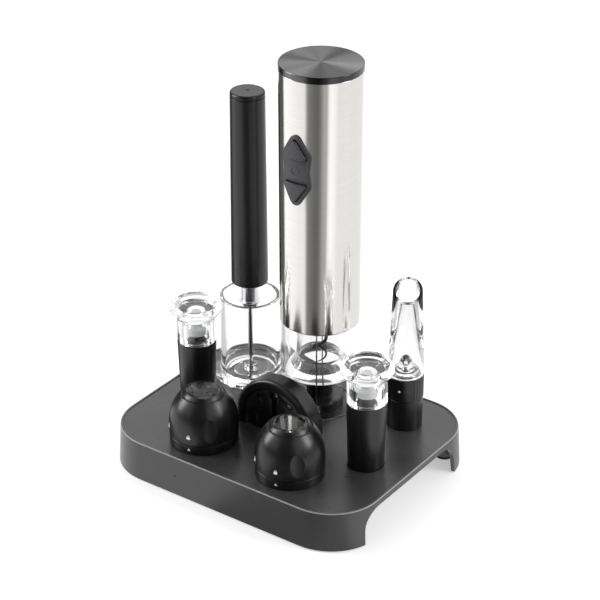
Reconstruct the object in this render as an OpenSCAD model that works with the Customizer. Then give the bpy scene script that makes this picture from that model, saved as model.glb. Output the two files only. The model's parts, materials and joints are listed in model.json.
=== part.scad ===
// Electric wine opener with its accessories on a charging stand.
// Millimetres. The origin is the centre of the stand's footprint on the floor,
// +X to the right along the front, -Y towards the front, +Z up.

/* [Stand] */
// Width of the stand at the floor
stand_w = 181.4; // [176:0.2:220]
// Depth of the stand at the floor
stand_d = 144.4; // [140:0.2:176]
// Height of the stand's rim above the floor
stand_h = 25.3; // [21:0.1:32]
// Corner radius of the stand at the floor
corner_r = 32.8; // [26:0.2:38]
// Lean of the outer walls over the stand's height
wall_lean = 1.5; // [0.5:0.1:2]
// Thickness of the stand's walls
stand_wall = 2.6; // [2:0.1:3.2]
// Thickness of the deck
deck_t = 2.6; // [2:0.1:3.2]
// Depth of the deck below the rim
rim_h = 0.5; // [0.3:0.1:0.8]
// Width of the rim round the deck
rim_w = 1.4; // [1:0.1:2]
// Gap between the front of the stand and the side arch
arch_front = 22.6; // [18:0.2:30]
// Gap between the side arch and the back of the stand
arch_back = 28.6; // [20:0.2:36]
// Height left above the side arch
arch_top = 3.9; // [3.4:0.1:6]
// Radius of the side arch's upper corners
arch_r = 12; // [6:1:14]
// Height of the rubber feet
foot_h = 1.2; // [0.8:0.1:2]

/* [Places on the deck] */
// Distance of the opener's axis behind the middle
opener_back = 31.4; // [28:0.2:36]
// Distance of the pump's axis from the stand's left edge
pump_edge = 35.9; // [34:0.1:38]
// Distance of the pump's axis behind the middle
pump_back = 35; // [32:0.2:38]
// Distance of each bottle stopper from the stand's side edge
stopper_edge = 29.1; // [27:0.1:31]
// Distance of the bottle stoppers in front of the middle
stopper_front = 9.6; // [6:0.2:12]
// Distance of the pourer's axis from the stand's right edge
pourer_edge = 34.9; // [33:0.1:37]
// Distance of the pourer's axis behind the middle
pourer_back = 40.4; // [36:0.2:42]
// Distance of each sparkling-wine stopper from the centre line
sparkling_side = 31.4; // [26:0.2:33]
// Distance of the sparkling-wine stoppers from the stand's front edge
sparkling_edge = 29.4; // [26:0.2:31]
// Distance of the foil cutter in front of the middle
foil_front = 10.4; // [10:0.1:11]

/* [Opener] */
// Outer diameter of the opener at its cap
opener_d = 49; // [48:0.2:51]
// Height of the opener above the deck
opener_h = 221.7; // [216:0.5:266]
// Length of the clear barrel below the steel casing
barrel_show = 58.8; // [54:0.2:62]
// Wall of the steel casing
casing_wall = 0.8; // [0.6:0.1:1]
// Thickness of the cap that shows
cap_t = 3.75; // [3:0.25:5]
// Wall of the clear barrel
barrel_wall = 2.2; // [1.8:0.1:3]
// Bore that the cork passes through
cork_bore_d = 25; // [24:0.5:27]
// Height of the button panel
panel_h = 47.3; // [44:0.5:50]
// Greatest width of the button panel
panel_w = 20.4; // [19.6:0.2:22]
// Distance from the cap's top to the middle of the button panel
panel_drop = 57.75; // [54:0.25:64]
// How far a button can be pressed
button_travel = 0.8; // [0.5:0.1:1]

/* [Drive] */
// Size of the gear teeth, as the module
gear_module = 0.8; // [0.76:0.01:0.82]
// Thickness of the gears
gear_t = 7.5; // [5:0.5:8]
// Diameter of the drive motor
motor_d = 27.6; // [24:0.4:28]
// Length of the drive motor
motor_len = 34; // [28:1:36]
// Radius of the screw's helix
screw_r = 3.9; // [3.4:0.1:4.2]
// Diameter of the screw's wire
screw_wire = 2.1; // [1.8:0.1:2.4]
// Rise of the screw in one turn
screw_pitch = 11.5; // [9:0.5:13]

/* [Air pump] */
// Diameter of the pump handle at its lower end
handle_d = 22.6; // [22:0.2:24]
// Length of the pump handle
handle_len = 125; // [115:1:150]
// Height of the handle's lower end above the deck
handle_rise = 64.7; // [62:0.1:68]
// Diameter of the needle
needle_d = 3; // [2.6:0.1:3.4]
// Outer diameter of the needle guard's foot
guard_d = 45; // [43:0.5:46]
// Height of the needle guard
guard_h = 55.2; // [50:0.2:58]
// Stroke of the pump
pump_stroke = 90; // [70:1:95]

/* [Bottle stoppers] */
// Diameter of the plug at its upper end
plug_d = 23.7; // [23:0.1:24.6]
// Height of the plug's upper end above the deck
plug_rise = 42.2; // [38:0.2:46]
// Diameter of the clear head
head_d = 31.2; // [29:0.2:32]
// Height of the clear head above the plug
head_h = 25; // [22:0.5:28]

/* [Pourer] */
// Diameter of the pourer's body
pourer_d = 22; // [21:0.2:23]
// Height of the pourer's dial
dial_h = 15; // [12:0.5:18]
// Length of the clear spout at its longest side
spout_len = 59.5; // [50:0.5:70]
// Wall of the clear spout
spout_wall = 1.7; // [1.4:0.1:2]

/* [Sparkling-wine stoppers] */
// Diameter of the dome at its widest
dome_d = 41.6; // [40:0.2:43]
// Height of the dome and its base ring
dome_h = 33.7; // [31:0.2:36]
// Diameter of the lens in the dome
lens_d = 20.4; // [18:0.2:22]
// Diameter of the hollow that takes the bottle's lip
lip_d = 31; // [30:0.5:33]

/* [Foil cutter] */
// Outer width of the foil cutter
foil_w = 55.6; // [53:0.2:58]
// Height of the foil cutter above the deck
foil_h = 35.4; // [34.4:0.2:37]
// Thickness of the foil cutter, front to back
foil_t = 11.4; // [10.4:0.2:12]
// Diameter of a cutting wheel
wheel_d = 9; // [7:0.2:9.4]

/* [Hidden] */

$fn = 96;
// Overlap of a cut past the face it opens
cut = 1;
// Gap between pieces that rest on each other but come apart
rest_gap = 0.05;
// Gap round pieces that slide or turn
slide_gap = 0.3;
// Radial gap of a shaft in its bore
run_gap = 0.05;

// Stand
deck_z = stand_h - rim_h;
deck_low = deck_z - deck_t;
lean_rate = wall_lean / stand_h;
well_wall = 1.8;
well_floor = 7;
rest_z = deck_z + rest_gap;
opener_at = [0, opener_back, 0];
pump_at = [pump_edge - stand_w / 2, pump_back, 0];
pourer_at = [stand_w / 2 - pourer_edge, pourer_back, 0];
foil_y = -foil_front;
sparkling_y = sparkling_edge - stand_d / 2;
stopper_x = stand_w / 2 - stopper_edge;
pod_w = 62;
pod_d = 50;
pod_y = 36;
pod_z = 9;
pod_wall = 2;
post_r = 8;
post_h = 17.2;
post_foot_r = 14.5;
post_foot_h = 6.4;
contact_r = 2.6;
contact_turn = 30;
screw_inset = 5;
screw_shank_r = 1.3;
foot_r = 5.6;
light_x = -31.2;
light_z = 13.1;
light_r = 0.8;
socket_w = 9;
socket_h = 5;
board_w = 42;
board_t = 1.6;

// Opener
cap_top = rest_z + opener_h;
casing_low = rest_z + barrel_show;
casing_top = cap_top - cap_t;
casing_r = opener_d / 2;
casing_low_r = casing_r - 0.45;
bore_r = casing_low_r - casing_wall;
barrel_r = casing_low_r - 0.15;
barrel_foot_r = casing_low_r - 0.75;
spigot_h = 11;
strip_w = 0.8;
strip_t = 0.35;
terminal_r = barrel_foot_r - barrel_wall - strip_t - 0.2;
cork_r = cork_bore_d / 2;
guide_r = cork_r + 1.6;
guide_low = rest_z + 23.2;
guide_top = casing_low + 20;
floor_z = guide_top + 8;
floor_t = 4;
frame_r = bore_r - 0.2;
rail_w = 18;
panel_z = cap_top - panel_drop;
panel_proud = 0.9;
panel_back = 2.4;
button_w = 15.4;
button_tall = 12.2;
button_off = 13.7;
button_gap = 0.3;
button_proud = 1.8;
battery_r = 7.1;
battery_len = 50;

// Drive
teeth = 12;
ring_teeth = 36;
pitch_r = gear_module * teeth / 2;
ring_pitch_r = gear_module * ring_teeth / 2;
planet_orbit = 2 * pitch_r;
carrier_z = floor_z + floor_t + 0.6;
carrier_t = 3.4;
gear_z = carrier_z + carrier_t + 0.3;
ring_r = 20;
ring_top = gear_z + gear_t + 1.2;
lid_t = 2.5;
motor_z = ring_top + lid_t;
battery_z = motor_z + motor_len + 4;
pin_r = 1.5;
spindle_r = 5;
screw_tip = rest_z + 30.6;
screw_top = floor_z - 1.6;

// Air pump
handle_low = rest_z + handle_rise;
handle_top = handle_low + handle_len;
handle_low_r = handle_d / 2;
handle_top_r = handle_low_r - 0.9;
tube_bore_r = 8.4;
neck_r = 5.3;
neck_h = 17.3;
cup_r = 6.9;
cup_h = 4.2;
needle_r = needle_d / 2;
needle_low = 11;
rod_r = 3.5;
piston_z = handle_top - 22;
piston_t = 8;
guard_r = guard_d / 2;
guard_wall = 2.5;
guard_tube_r = guard_r - 3.9;
guard_slot_turn = -12;
guard_slot_arc = 84;

// Bottle stoppers
plug_r = plug_d / 2;
plug_taper = 0.0296;
plug_low = well_floor + 2;
plug_top = rest_z + plug_rise;
plug_low_r = plug_r - plug_taper * (plug_top - plug_low);
well_r = plug_r - plug_taper * plug_rise + 0.35;
head_r = head_d / 2;
dish_r = head_r - 5.2;
notch_turn = -12;

// Pourer
pourer_r = pourer_d / 2;
pourer_stem_r = pourer_r - 1;
dial_z = rest_z + 20;
spout_z = dial_z + dial_h;
spout_top_r = 8.5;
mouth_tilt = 28;
mouth_turn = 30;

// Sparkling-wine stoppers
dome_r = dome_d / 2;
base_r = dome_r - 0.4;
base_h = 5.8;
dome_z = rest_z + base_h + 0.4;
dome_mid = rest_z + 11;
dome_top = rest_z + dome_h;
dome_power = 2.6;
lens_r = lens_d / 2;
lip_r = lip_d / 2;
dome_wall = 2.4;
lens_t = 2.85;
grip_turn = 48;
grip_deep = 5.5;
grip_tall = 9.5;
peg_h = 3.2;
peg_r = lip_r - 0.8;

// Foil cutter
foil_r = foil_w / 2;
arch_mid = foil_h - foil_r;
jaw_gap = 3.5;
jaw_inset = 0.8;
wheel_r = wheel_d / 2;
wheel_t = 0.8;
key_r = 3.3;
key_z = foil_h - 10.3;
wheel_x = key_r + wheel_r - 0.1;
wheel_y = foil_t / 2 - 1.9;
wheel_z = key_z - 2.75;
window_x = wheel_x + 2.7;
window_z = wheel_z - 0.9;
foil_arm = 6.6;

// ---- Helpers -------------------------------------------------------------

function unit(v) = v / norm(v);

// Points of an arc that rounds the corner at b, between a and c
function corner_arc(a, b, c, r, steps = 6) =
    let (u = unit(a - b), v = unit(c - b), half = acos(u * v) / 2)
    let (m = b + unit(u + v) * r / sin(half))
    let (p = b + u * r / tan(half) - m, q = b + v * r / tan(half) - m)
    let (s = atan2(p[1], p[0]), e = atan2(q[1], q[0]))
    let (turn = (e - s + 540) % 360 - 180)
    [for (i = [0:steps]) m + r * [cos(s + turn * i / steps), sin(s + turn * i / steps)]];

function rounded(pts, radii) =
    let (n = len(pts))
    [for (i = [0:n - 1]) for (p = corner_arc(pts[(i + n - 1) % n], pts[i], pts[(i + 1) % n], radii[i])) p];

// A tube or disc about Z
module tube(r, bore, h) {
    difference() {
        cylinder(r = r, h = h);
        translate([0, 0, -cut]) cylinder(r = bore, h = h + 2 * cut);
    }
}

// The stand's outline at a height, as a solid that leans in like its walls
module leaning_block(inset, low, high) {
    w = stand_w / 2 - inset;
    d = stand_d / 2 - inset;
    r = corner_r - inset;
    a = low * lean_rate;
    b = high * lean_rate;
    for (x = [-1, 1], y = [-1, 1])
        translate([x * (w - r), y * (d - r), low]) cylinder(r1 = r - a, r2 = r - b, h = high - low);
    rotate([90, 0, 90]) translate([0, 0, r - w]) linear_extrude(2 * (w - r))
        polygon([[a - d, low], [d - a, low], [d - b, high], [b - d, high]]);
    rotate([90, 0, 0]) translate([0, 0, r - d]) linear_extrude(2 * (d - r))
        polygon([[a - w, low], [w - a, low], [w - b, high], [b - w, high]]);
}

// A point r from the opener's axis, turned from the front towards +X
function round_opener(r, turn, z) = [r * sin(turn), opener_back - r * cos(turn), z];

module gear_teeth(count, add, ded, thick) {
    r = gear_module * count / 2;
    for (i = [0:count - 1]) rotate(i * 360 / count)
        polygon([[r - ded, -thick * 0.75], [r + add, -thick * 0.28], [r + add, thick * 0.28], [r - ded, thick * 0.75]]);
}

module outer_gear(count, h) {
    add = gear_module;
    ded = 1.2 * gear_module;
    linear_extrude(h) union() {
        circle(r = gear_module * count / 2 - ded + 0.15);
        gear_teeth(count, add, ded, 1.25 * gear_module);
    }
}

// ---- Stand ---------------------------------------------------------------

module side_arches() {
    f = arch_front - stand_d / 2;
    b = stand_d / 2 - arch_back;
    t = stand_h - arch_top;
    outline = rounded([[f - 0.3, -cut], [f + 0.6, t], [b - 2.6, t], [b + 0.3, -cut]], [0.2, arch_r, arch_r, 0.2]);
    for (s = [-1, 1]) translate([s * (stand_w / 2 - 6), 0, 0]) rotate([90, 0, 90])
        translate([0, 0, -8]) linear_extrude(16) polygon(outline);
}

// A cup under the deck that a stem stands in
module well(at, r, floor_at) {
    translate([at[0], at[1], floor_at - well_wall])
        cylinder(r = r + well_wall, h = deck_low - floor_at + well_wall + 0.5);
}

module well_cut(at, r, floor_at) {
    translate([at[0], at[1], floor_at]) cylinder(r = r, h = stand_h);
}

module stand_shell() {
    color([0.07, 0.07, 0.075]) difference() {
        union() {
            difference() {
                leaning_block(0, foot_h / 2, stand_h);
                leaning_block(stand_wall, -cut, deck_low);
                leaning_block(rim_w, deck_z, stand_h + cut);
            }
            for (s = [-1, 1]) well([s * stopper_x, -stopper_front], well_r, well_floor);
            well(pourer_at, pourer_stem_r + 0.4, well_floor);
            well(pump_at, needle_r + 0.6, needle_low - 3);
            for (s = [-1, 1]) translate([s * sparkling_side, sparkling_y, deck_z - cut])
                cylinder(r = peg_r, h = cut + peg_h);
            translate([-pod_w / 2, pod_y - pod_d / 2, pod_z]) cube([pod_w, pod_d, deck_low - pod_z + 0.5]);
        }
        side_arches();
        for (s = [-1, 1]) well_cut([s * stopper_x, -stopper_front], well_r, well_floor);
        well_cut(pourer_at, pourer_stem_r + 0.4, well_floor);
        well_cut(pump_at, needle_r + 0.6, needle_low - 3);
        translate([-pod_w / 2 + pod_wall, pod_y - pod_d / 2 + pod_wall, pod_z - cut])
            cube([pod_w - 2 * pod_wall, pod_d - 2 * pod_wall, deck_low - pod_z + cut]);
        translate([0, opener_back, 0]) cylinder(r = post_r + 0.1, h = stand_h + cut);
        translate([light_x, -stand_d / 2 + 5, light_z]) rotate([90, 0, 0]) cylinder(r = light_r + 0.05, h = 8);
        translate([-socket_w / 2 - 0.1, pod_y + pod_d / 2 - 6, pod_z + 3 - 0.1]) cube([socket_w + 0.2, 30, socket_h + 0.2]);
    }
    color([0.07, 0.07, 0.075]) {
        at_feet() translate([0, 0, foot_h + 0.02]) cylinder(r = foot_r - 0.6, h = deck_low - foot_h + 0.5);
        for (x = [-1, 1], y = [-1, 1]) screw_at(x, y) translate([0, 0, 2.2])
            tube(screw_inset - 1.8, screw_shank_r + 0.02, deck_low - pod_z + 0.5);
    }
}

module stand_base_cover() {
    color([0.09, 0.09, 0.09]) difference() {
        translate([-pod_w / 2, pod_y - pod_d / 2, pod_z - 2.2]) cube([pod_w, pod_d, 2.15]);
        for (x = [-1, 1], y = [-1, 1]) screw_at(x, y) translate([0, 0, -cut]) cylinder(r = screw_shank_r + 0.3, h = 5);
    }
}

module screw_at(x, y) {
    translate([x * (pod_w / 2 - screw_inset), pod_y + y * (pod_d / 2 - screw_inset), pod_z - 2.2]) children();
}

module stand_screws() {
    color([0.6, 0.6, 0.62]) for (x = [-1, 1], y = [-1, 1]) screw_at(x, y) {
        translate([0, 0, -1.4]) cylinder(r = 2.6, h = 1.35);
        translate([0, 0, -0.2]) cylinder(r = screw_shank_r, h = 9);
    }
}

module at_feet() {
    reach = (corner_r - stand_wall - foot_r - 0.5) * sqrt(0.5);
    for (x = [-1, 1], y = [-1, 1])
        translate([x * (stand_w / 2 - corner_r + reach), y * (stand_d / 2 - corner_r + reach), 0]) children();
}

module stand_feet() {
    color([0.05, 0.05, 0.05]) at_feet() cylinder(r1 = foot_r - 0.4, r2 = foot_r, h = foot_h);
}

module charging_post() {
    color([0.03, 0.03, 0.035]) translate([0, opener_back, 0]) difference() {
        union() {
            translate([0, 0, deck_z + 0.02]) cylinder(r = post_foot_r, h = post_foot_h - 0.8);
            translate([0, 0, deck_z + post_foot_h - 0.78]) cylinder(r1 = post_foot_r, r2 = post_foot_r - 0.8, h = 0.8);
            translate([0, 0, deck_low - 2]) cylinder(r = post_r, h = post_h + deck_t + 2);
        }
        for (t = [0, 180]) rotate(contact_turn + t) translate([0, -post_foot_r + 4, deck_z + 3.2]) rotate([90, 0, 0])
            cylinder(r = contact_r + 0.1, h = 6);
    }
}

module contact_pins() {
    color([0.78, 0.77, 0.74]) translate([0, opener_back, 0]) for (t = [0, 180]) rotate(contact_turn + t)
        translate([0, -post_foot_r + 3.98, deck_z + 3.2]) rotate([90, 0, 0]) {
            cylinder(r = contact_r, h = 4.6);
            cylinder(r = 1.2, h = terminal_r - post_foot_r + 3.98 - 0.15);
        }
}

module stand_circuit_board() {
    color([0.05, 0.25, 0.12]) {
        translate([-board_w / 2, pod_y - 19, pod_z + 1.2]) cube([board_w, 38, board_t]);
        translate([-18, pod_y - 16, pod_z + 1.15 + board_t]) cube([8, 6, 2.4]);
        translate([10, pod_y - 15, pod_z + 1.15 + board_t]) cylinder(r = 3, h = 5);
    }
}

module status_light() {
    color([0.2, 0.35, 0.9]) translate([light_x, -stand_d / 2 + 5, light_z]) rotate([90, 0, 0])
        cylinder(r = light_r, h = 5 - light_z * lean_rate - 0.15);
}

module power_socket() {
    back = stand_d / 2 - (pod_z + 3 + socket_h / 2) * lean_rate - 0.3;
    color([0.2, 0.2, 0.2]) translate([-socket_w / 2, pod_y + pod_d / 2 - 5.8, pod_z + 3]) difference() {
        cube([socket_w, back - pod_y - pod_d / 2 + 5.8, socket_h]);
        translate([1, 2, 1]) cube([socket_w - 2, 40, socket_h - 2]);
    }
}

// ---- Opener --------------------------------------------------------------

module button_outline(grow) {
    w = button_w / 2 + grow;
    h = button_tall / 2 + grow;
    polygon(rounded([[-w, -h], [w, -h], [0, h + 0.8 * grow]], [1.2, 1.2, 1.4]));
}

module panel_outline(grow) {
    w = panel_w / 2 + grow;
    h = panel_h / 2 + grow;
    pts = [[0, h + 1.6], [w, 9.8], [w - 1.9, 0], [w, -9.8], [0, -h - 1.6], [-w, -9.8], [1.9 - w, 0], [-w, 9.8]];
    polygon(rounded(pts, [4, 3, 8, 3, 4, 3, 8, 3]));
}

// A plate that follows the casing, cut to the outline given as a child
module curved_plate(inner, outer) {
    translate([0, opener_back, 0]) intersection() {
        translate([0, 0, panel_z - panel_h]) tube(outer, inner, 2 * panel_h);
        translate([0, 0, panel_z]) rotate([90, 0, 0]) linear_extrude(opener_d) children();
    }
}

module steel_casing() {
    color([0.72, 0.71, 0.69]) difference() {
        translate([0, opener_back, 0]) difference() {
            translate([0, 0, casing_low]) cylinder(r1 = casing_low_r, r2 = casing_r, h = casing_top - casing_low);
            translate([0, 0, casing_low - cut]) cylinder(r = bore_r, h = opener_h);
        }
        translate([0, opener_back, panel_z]) rotate([90, 0, 0]) linear_extrude(opener_d) panel_outline(-1.2);
    }
}

module top_cap() {
    color([0.04, 0.04, 0.045]) translate([0, opener_back, 0]) {
        translate([0, 0, casing_top + 0.02]) cylinder(r = casing_r, h = cap_t - 0.52);
        translate([0, 0, cap_top - 0.5]) cylinder(r1 = casing_r, r2 = casing_r - 0.5, h = 0.5);
        translate([0, 0, casing_top - 5]) tube(bore_r - 0.1, bore_r - 2.4, 5.1);
    }
}

module button_panel() {
    color([0.05, 0.05, 0.055]) difference() {
        union() {
            curved_plate(casing_r + 0.02, casing_r + panel_proud) panel_outline(0);
            curved_plate(bore_r - panel_back, casing_r + 0.1) panel_outline(-1.3);
        }
        for (s = [-1, 1]) translate([0, opener_back, panel_z + s * button_off]) rotate([90, 0, 0])
            linear_extrude(opener_d) mirror([0, s < 0 ? 1 : 0, 0]) button_outline(button_gap);
    }
}

module press_button(side) {
    inner = bore_r - panel_back - 0.6;
    outer = casing_r + panel_proud + button_proud;
    color([0.09, 0.09, 0.095]) translate([0, opener_back, 0]) intersection() {
        translate([0, 0, panel_z - panel_h]) tube(outer, inner, 2 * panel_h);
        translate([0, 0, panel_z + side * button_off]) rotate([90, 0, 0]) linear_extrude(opener_d)
            mirror([0, side < 0 ? 1 : 0, 0]) button_outline(0);
    }
}

module up_button() { press_button(1); }

module down_button() { press_button(-1); }

// A curved rail of the inner frame on one side of the opener
module rail(side, low, high) {
    translate([0, 0, low]) intersection() {
        tube(frame_r, frame_r - 2, high - low);
        translate([side > 0 ? 0 : -2 * frame_r, -rail_w / 2, 0]) cube([2 * frame_r, rail_w, high - low]);
    }
}

module inner_frame() {
    top = casing_top - 6;
    color([0.13, 0.13, 0.13]) translate([0, opener_back, 0]) {
        translate([0, 0, floor_z]) tube(frame_r, spindle_r + run_gap, floor_t);
        translate([0, 0, guide_top - 4]) tube(guide_r + 2, guide_r + 0.1, floor_z - guide_top + 4.1);
        for (s = [-1, 1]) rail(s, floor_z + floor_t - 0.1, top - 1.9);
        translate([0, 0, top - 2]) tube(frame_r, 6, 2);
        translate([0, 0, battery_z - 2]) difference() {
            cylinder(r = frame_r, h = 1.9);
            translate([-frame_r, -2 * frame_r - 2 * battery_r - 1, -cut]) cube([2 * frame_r, 2 * frame_r, 4]);
        }
    }
}

module battery_cells() {
    color([0.2, 0.45, 0.3]) translate([0, opener_back, 0]) for (x = [-1, 1], y = [-1, 1])
        translate([x * battery_r, y * battery_r, battery_z]) {
            cylinder(r = battery_r - 0.1, h = battery_len - 1);
            cylinder(r = 2.6, h = battery_len);
        }
}

module control_board() {
    y = opener_back - battery_r * 2 - 2.8;
    color([0.06, 0.3, 0.15]) {
        translate([-9, y, panel_z - 24]) cube([18, board_t, 48]);
        for (s = [-1, 1]) translate([-2.6, y - 2.2, panel_z + s * button_off - 2.6]) cube([5.2, 2.25, 5.2]);
    }
}

module drive_motor() {
    color([0.66, 0.66, 0.68]) translate([0, opener_back, motor_z + 0.05]) {
        cylinder(r = motor_d / 2, h = motor_len - 3);
        translate([0, 0, motor_len - 3.05]) cylinder(r = motor_d / 2 - 1.4, h = 2);
        translate([0, 0, motor_len - 1.1]) cylinder(r = 4, h = 1.1);
    }
}

module ring_gear_housing() {
    low = floor_z + floor_t + 0.02;
    color([0.85, 0.84, 0.8]) translate([0, opener_back, 0]) {
        translate([0, 0, low]) linear_extrude(ring_top - low) difference() {
            circle(r = ring_r);
            circle(r = ring_pitch_r + 1.2 * gear_module);
        }
        translate([0, 0, gear_z - 0.2]) linear_extrude(gear_t + 0.4) intersection() {
            circle(r = ring_r - 1);
            for (i = [0:ring_teeth - 1]) rotate(i * 360 / ring_teeth) ring_tooth();
        }
        translate([0, 0, ring_top - 0.02]) tube(ring_r, pitch_r - 0.6, lid_t);
    }
}

module ring_tooth() {
    r = ring_pitch_r;
    t = 1.25 * gear_module;
    tip = r - 0.9 * gear_module;
    root = r + 1.5 * gear_module;
    polygon([[tip, -t * 0.3], [root, -t * 0.9], [root, t * 0.9], [tip, t * 0.3]]);
}

module clear_barrel() {
    color([0.9, 0.93, 0.95, 0.35]) translate([0, opener_back, 0]) difference() {
        union() {
            translate([0, 0, rest_z]) cylinder(r1 = barrel_foot_r, r2 = barrel_r, h = barrel_show - 0.05);
            translate([0, 0, rest_z]) cylinder(r = bore_r - 0.1, h = barrel_show + spigot_h);
        }
        translate([0, 0, rest_z - cut]) cylinder(r = barrel_foot_r - barrel_wall, h = opener_h);
    }
}

module bottle_guide() {
    wall_r = barrel_foot_r - barrel_wall - 0.05;
    flare = [[wall_r, guide_low], [wall_r, guide_low + 2], [guide_r + 1, guide_low + 10.2], [guide_r, guide_low + 12],
        [guide_r, guide_top], [cork_r, guide_top], [cork_r, guide_low + 10], [cork_r + 2.6, guide_low + 4]];
    color([0.9, 0.93, 0.95, 0.35]) translate([0, opener_back, 0]) difference() {
        rotate_extrude() polygon(flare);
        for (t = [0, 180]) rotate(contact_turn + t) translate([-strip_w, -terminal_r - 2, guide_low - cut])
            cube([2 * strip_w, 2.3, 6]);
    }
}

module charging_terminals() {
    color([0.8, 0.78, 0.7]) translate([0, opener_back, 0]) for (t = [0, 180]) rotate(contact_turn + t) {
        translate([0, -terminal_r, rest_z + 3.2]) rotate([90, 0, 0]) cylinder(r = contact_r, h = strip_t);
        translate([-strip_w / 2, -terminal_r - strip_t, rest_z + 3.2]) cube([strip_w, strip_t, barrel_show + 6]);
    }
}

module motor_pinion() {
    color([0.75, 0.72, 0.6]) translate([0, opener_back, 0]) {
        translate([0, 0, gear_z]) outer_gear(teeth, gear_t);
        translate([0, 0, gear_z + gear_t - 0.05]) cylinder(r = 1.5, h = motor_z - gear_z - gear_t);
    }
}

module planet_carrier() {
    color([0.7, 0.7, 0.72]) translate([0, opener_back, 0]) {
        translate([0, 0, carrier_z]) cylinder(r = ring_pitch_r - gear_module - 0.6, h = carrier_t);
        translate([0, 0, screw_top - 2]) cylinder(r = spindle_r, h = carrier_z - screw_top + 2.05);
        for (i = [0:2]) rotate(i * 120) translate([planet_orbit, 0, carrier_z + carrier_t - 0.05])
            cylinder(r = pin_r, h = gear_t + 0.8);
    }
}

// The helix of the screw: a wire of round section swept along its turns
module spiral_screw() {
    sides = 10;
    steps = 20;
    turns = (screw_top - screw_tip) / screw_pitch;
    rings = floor(turns * steps);
    lead = steps * 0.7;
    function wire(i) = screw_wire / 2 * min(1, 0.25 + 0.75 * i / lead);
    function coil(i) = screw_r * min(1, 1.6 * (rings - i) / steps);
    pts = [for (i = [0:rings]) for (j = [0:sides - 1])
        let (a = 360 * i / steps - 75, b = 360 * j / sides, q = coil(i) + wire(i) * cos(b))
        [q * cos(a), q * sin(a), screw_tip + screw_pitch * i / steps + wire(i) * sin(b)]];
    faces = concat([[for (j = [0:sides - 1]) j]], [[for (j = [sides - 1:-1:0]) rings * sides + j]],
        [for (i = [0:rings - 1]) for (j = [0:sides - 1])
            [i * sides + j, (i + 1) * sides + j, (i + 1) * sides + (j + 1) % sides, i * sides + (j + 1) % sides]]);
    color([0.05, 0.05, 0.055]) translate([0, opener_back, 0]) polyhedron(pts, faces);
}

module planet_gear(i) {
    color([0.85, 0.84, 0.8]) translate([0, opener_back, 0]) rotate(i * 120) translate([planet_orbit, 0, gear_z])
        difference() {
            rotate(180 / teeth) outer_gear(teeth, gear_t);
            translate([0, 0, -cut]) cylinder(r = pin_r + run_gap, h = gear_t + 2 * cut);
        }
}

module planet_gear_1() { planet_gear(0); }

module planet_gear_2() { planet_gear(1); }

module planet_gear_3() { planet_gear(2); }

// ---- Air pump ------------------------------------------------------------

module needle_guard() {
    base = 2.4;
    foot_t = 4.6;
    half = guard_slot_arc / 2;
    color([0.92, 0.94, 0.96, 0.35]) translate([pump_at[0], pump_at[1], rest_z]) difference() {
        union() {
            cylinder(r = guard_r, h = foot_t - 0.6);
            translate([0, 0, foot_t - 0.62]) cylinder(r1 = guard_r, r2 = guard_tube_r + 0.6, h = 1.6);
            cylinder(r = guard_tube_r, h = guard_h);
        }
        translate([0, 0, base]) difference() {
            cylinder(r = guard_tube_r - guard_wall, h = guard_h);
            translate([0, 0, -cut]) cylinder(r = 10.3, h = cut + 1);
            translate([0, 0, -cut]) cylinder(r = needle_r + 2.6, h = cut + 6);
        }
        translate([0, 0, -cut]) cylinder(r = needle_r + 0.2, h = guard_h);
        for (s = [0, 180]) rotate(guard_slot_turn + s) translate([0, 0, -cut]) intersection() {
            tube(14.4, 10.8, 8);
            linear_extrude(8) polygon([[0, 0], [20 * cos(half), -20 * sin(half)], [20 * cos(half), 20 * sin(half)]]);
        }
    }
}

module pump_neck() {
    low = handle_low - neck_h;
    color([0.75, 0.76, 0.78]) translate([pump_at[0], pump_at[1], 0]) difference() {
        union() {
            translate([0, 0, low]) cylinder(r1 = cup_r - 2.2, r2 = cup_r, h = cup_h);
            translate([0, 0, low + cup_h - 0.1]) cylinder(r = neck_r, h = neck_h - cup_h);
        }
        translate([0, 0, low - cut]) cylinder(r = needle_r, h = cut + 10);
    }
}

module pump_needle() {
    low = needle_low;
    color([0.8, 0.8, 0.82]) translate([pump_at[0], pump_at[1], 0]) difference() {
        union() {
            translate([0, 0, low]) cylinder(r1 = 0.5, r2 = needle_r, h = 5);
            translate([0, 0, low + 5]) cylinder(r = needle_r, h = handle_low - neck_h + 9.9 - low - 5);
        }
        translate([0, 0, low + 8]) cylinder(r = needle_r - 0.6, h = guard_h + 30);
        translate([-needle_d, 0, low + 10]) rotate([0, 90, 0]) cylinder(r = 0.4, h = 2 * needle_d);
    }
}

module piston_rod() {
    color([0.78, 0.78, 0.8]) translate([pump_at[0], pump_at[1], handle_low - 0.08]) {
        cylinder(r = rod_r, h = piston_z - handle_low);
    }
}

module piston_seal() {
    color([0.1, 0.1, 0.1]) translate([pump_at[0], pump_at[1], piston_z - 0.05]) {
        cylinder(r = tube_bore_r - run_gap, h = 2);
        translate([0, 0, 1.9]) cylinder(r = tube_bore_r - 1.4, h = piston_t - 3.8);
        translate([0, 0, piston_t - 2]) cylinder(r = tube_bore_r - run_gap, h = 2);
    }
}

module pump_handle() {
    color([0.045, 0.045, 0.05]) translate([pump_at[0], pump_at[1], handle_low]) difference() {
        cylinder(r1 = handle_low_r, r2 = handle_top_r, h = handle_len - 5.2);
        translate([0, 0, 3.4]) cylinder(r = tube_bore_r, h = handle_len);
        translate([0, 0, -cut]) cylinder(r = rod_r + run_gap, h = 6);
    }
}

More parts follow.
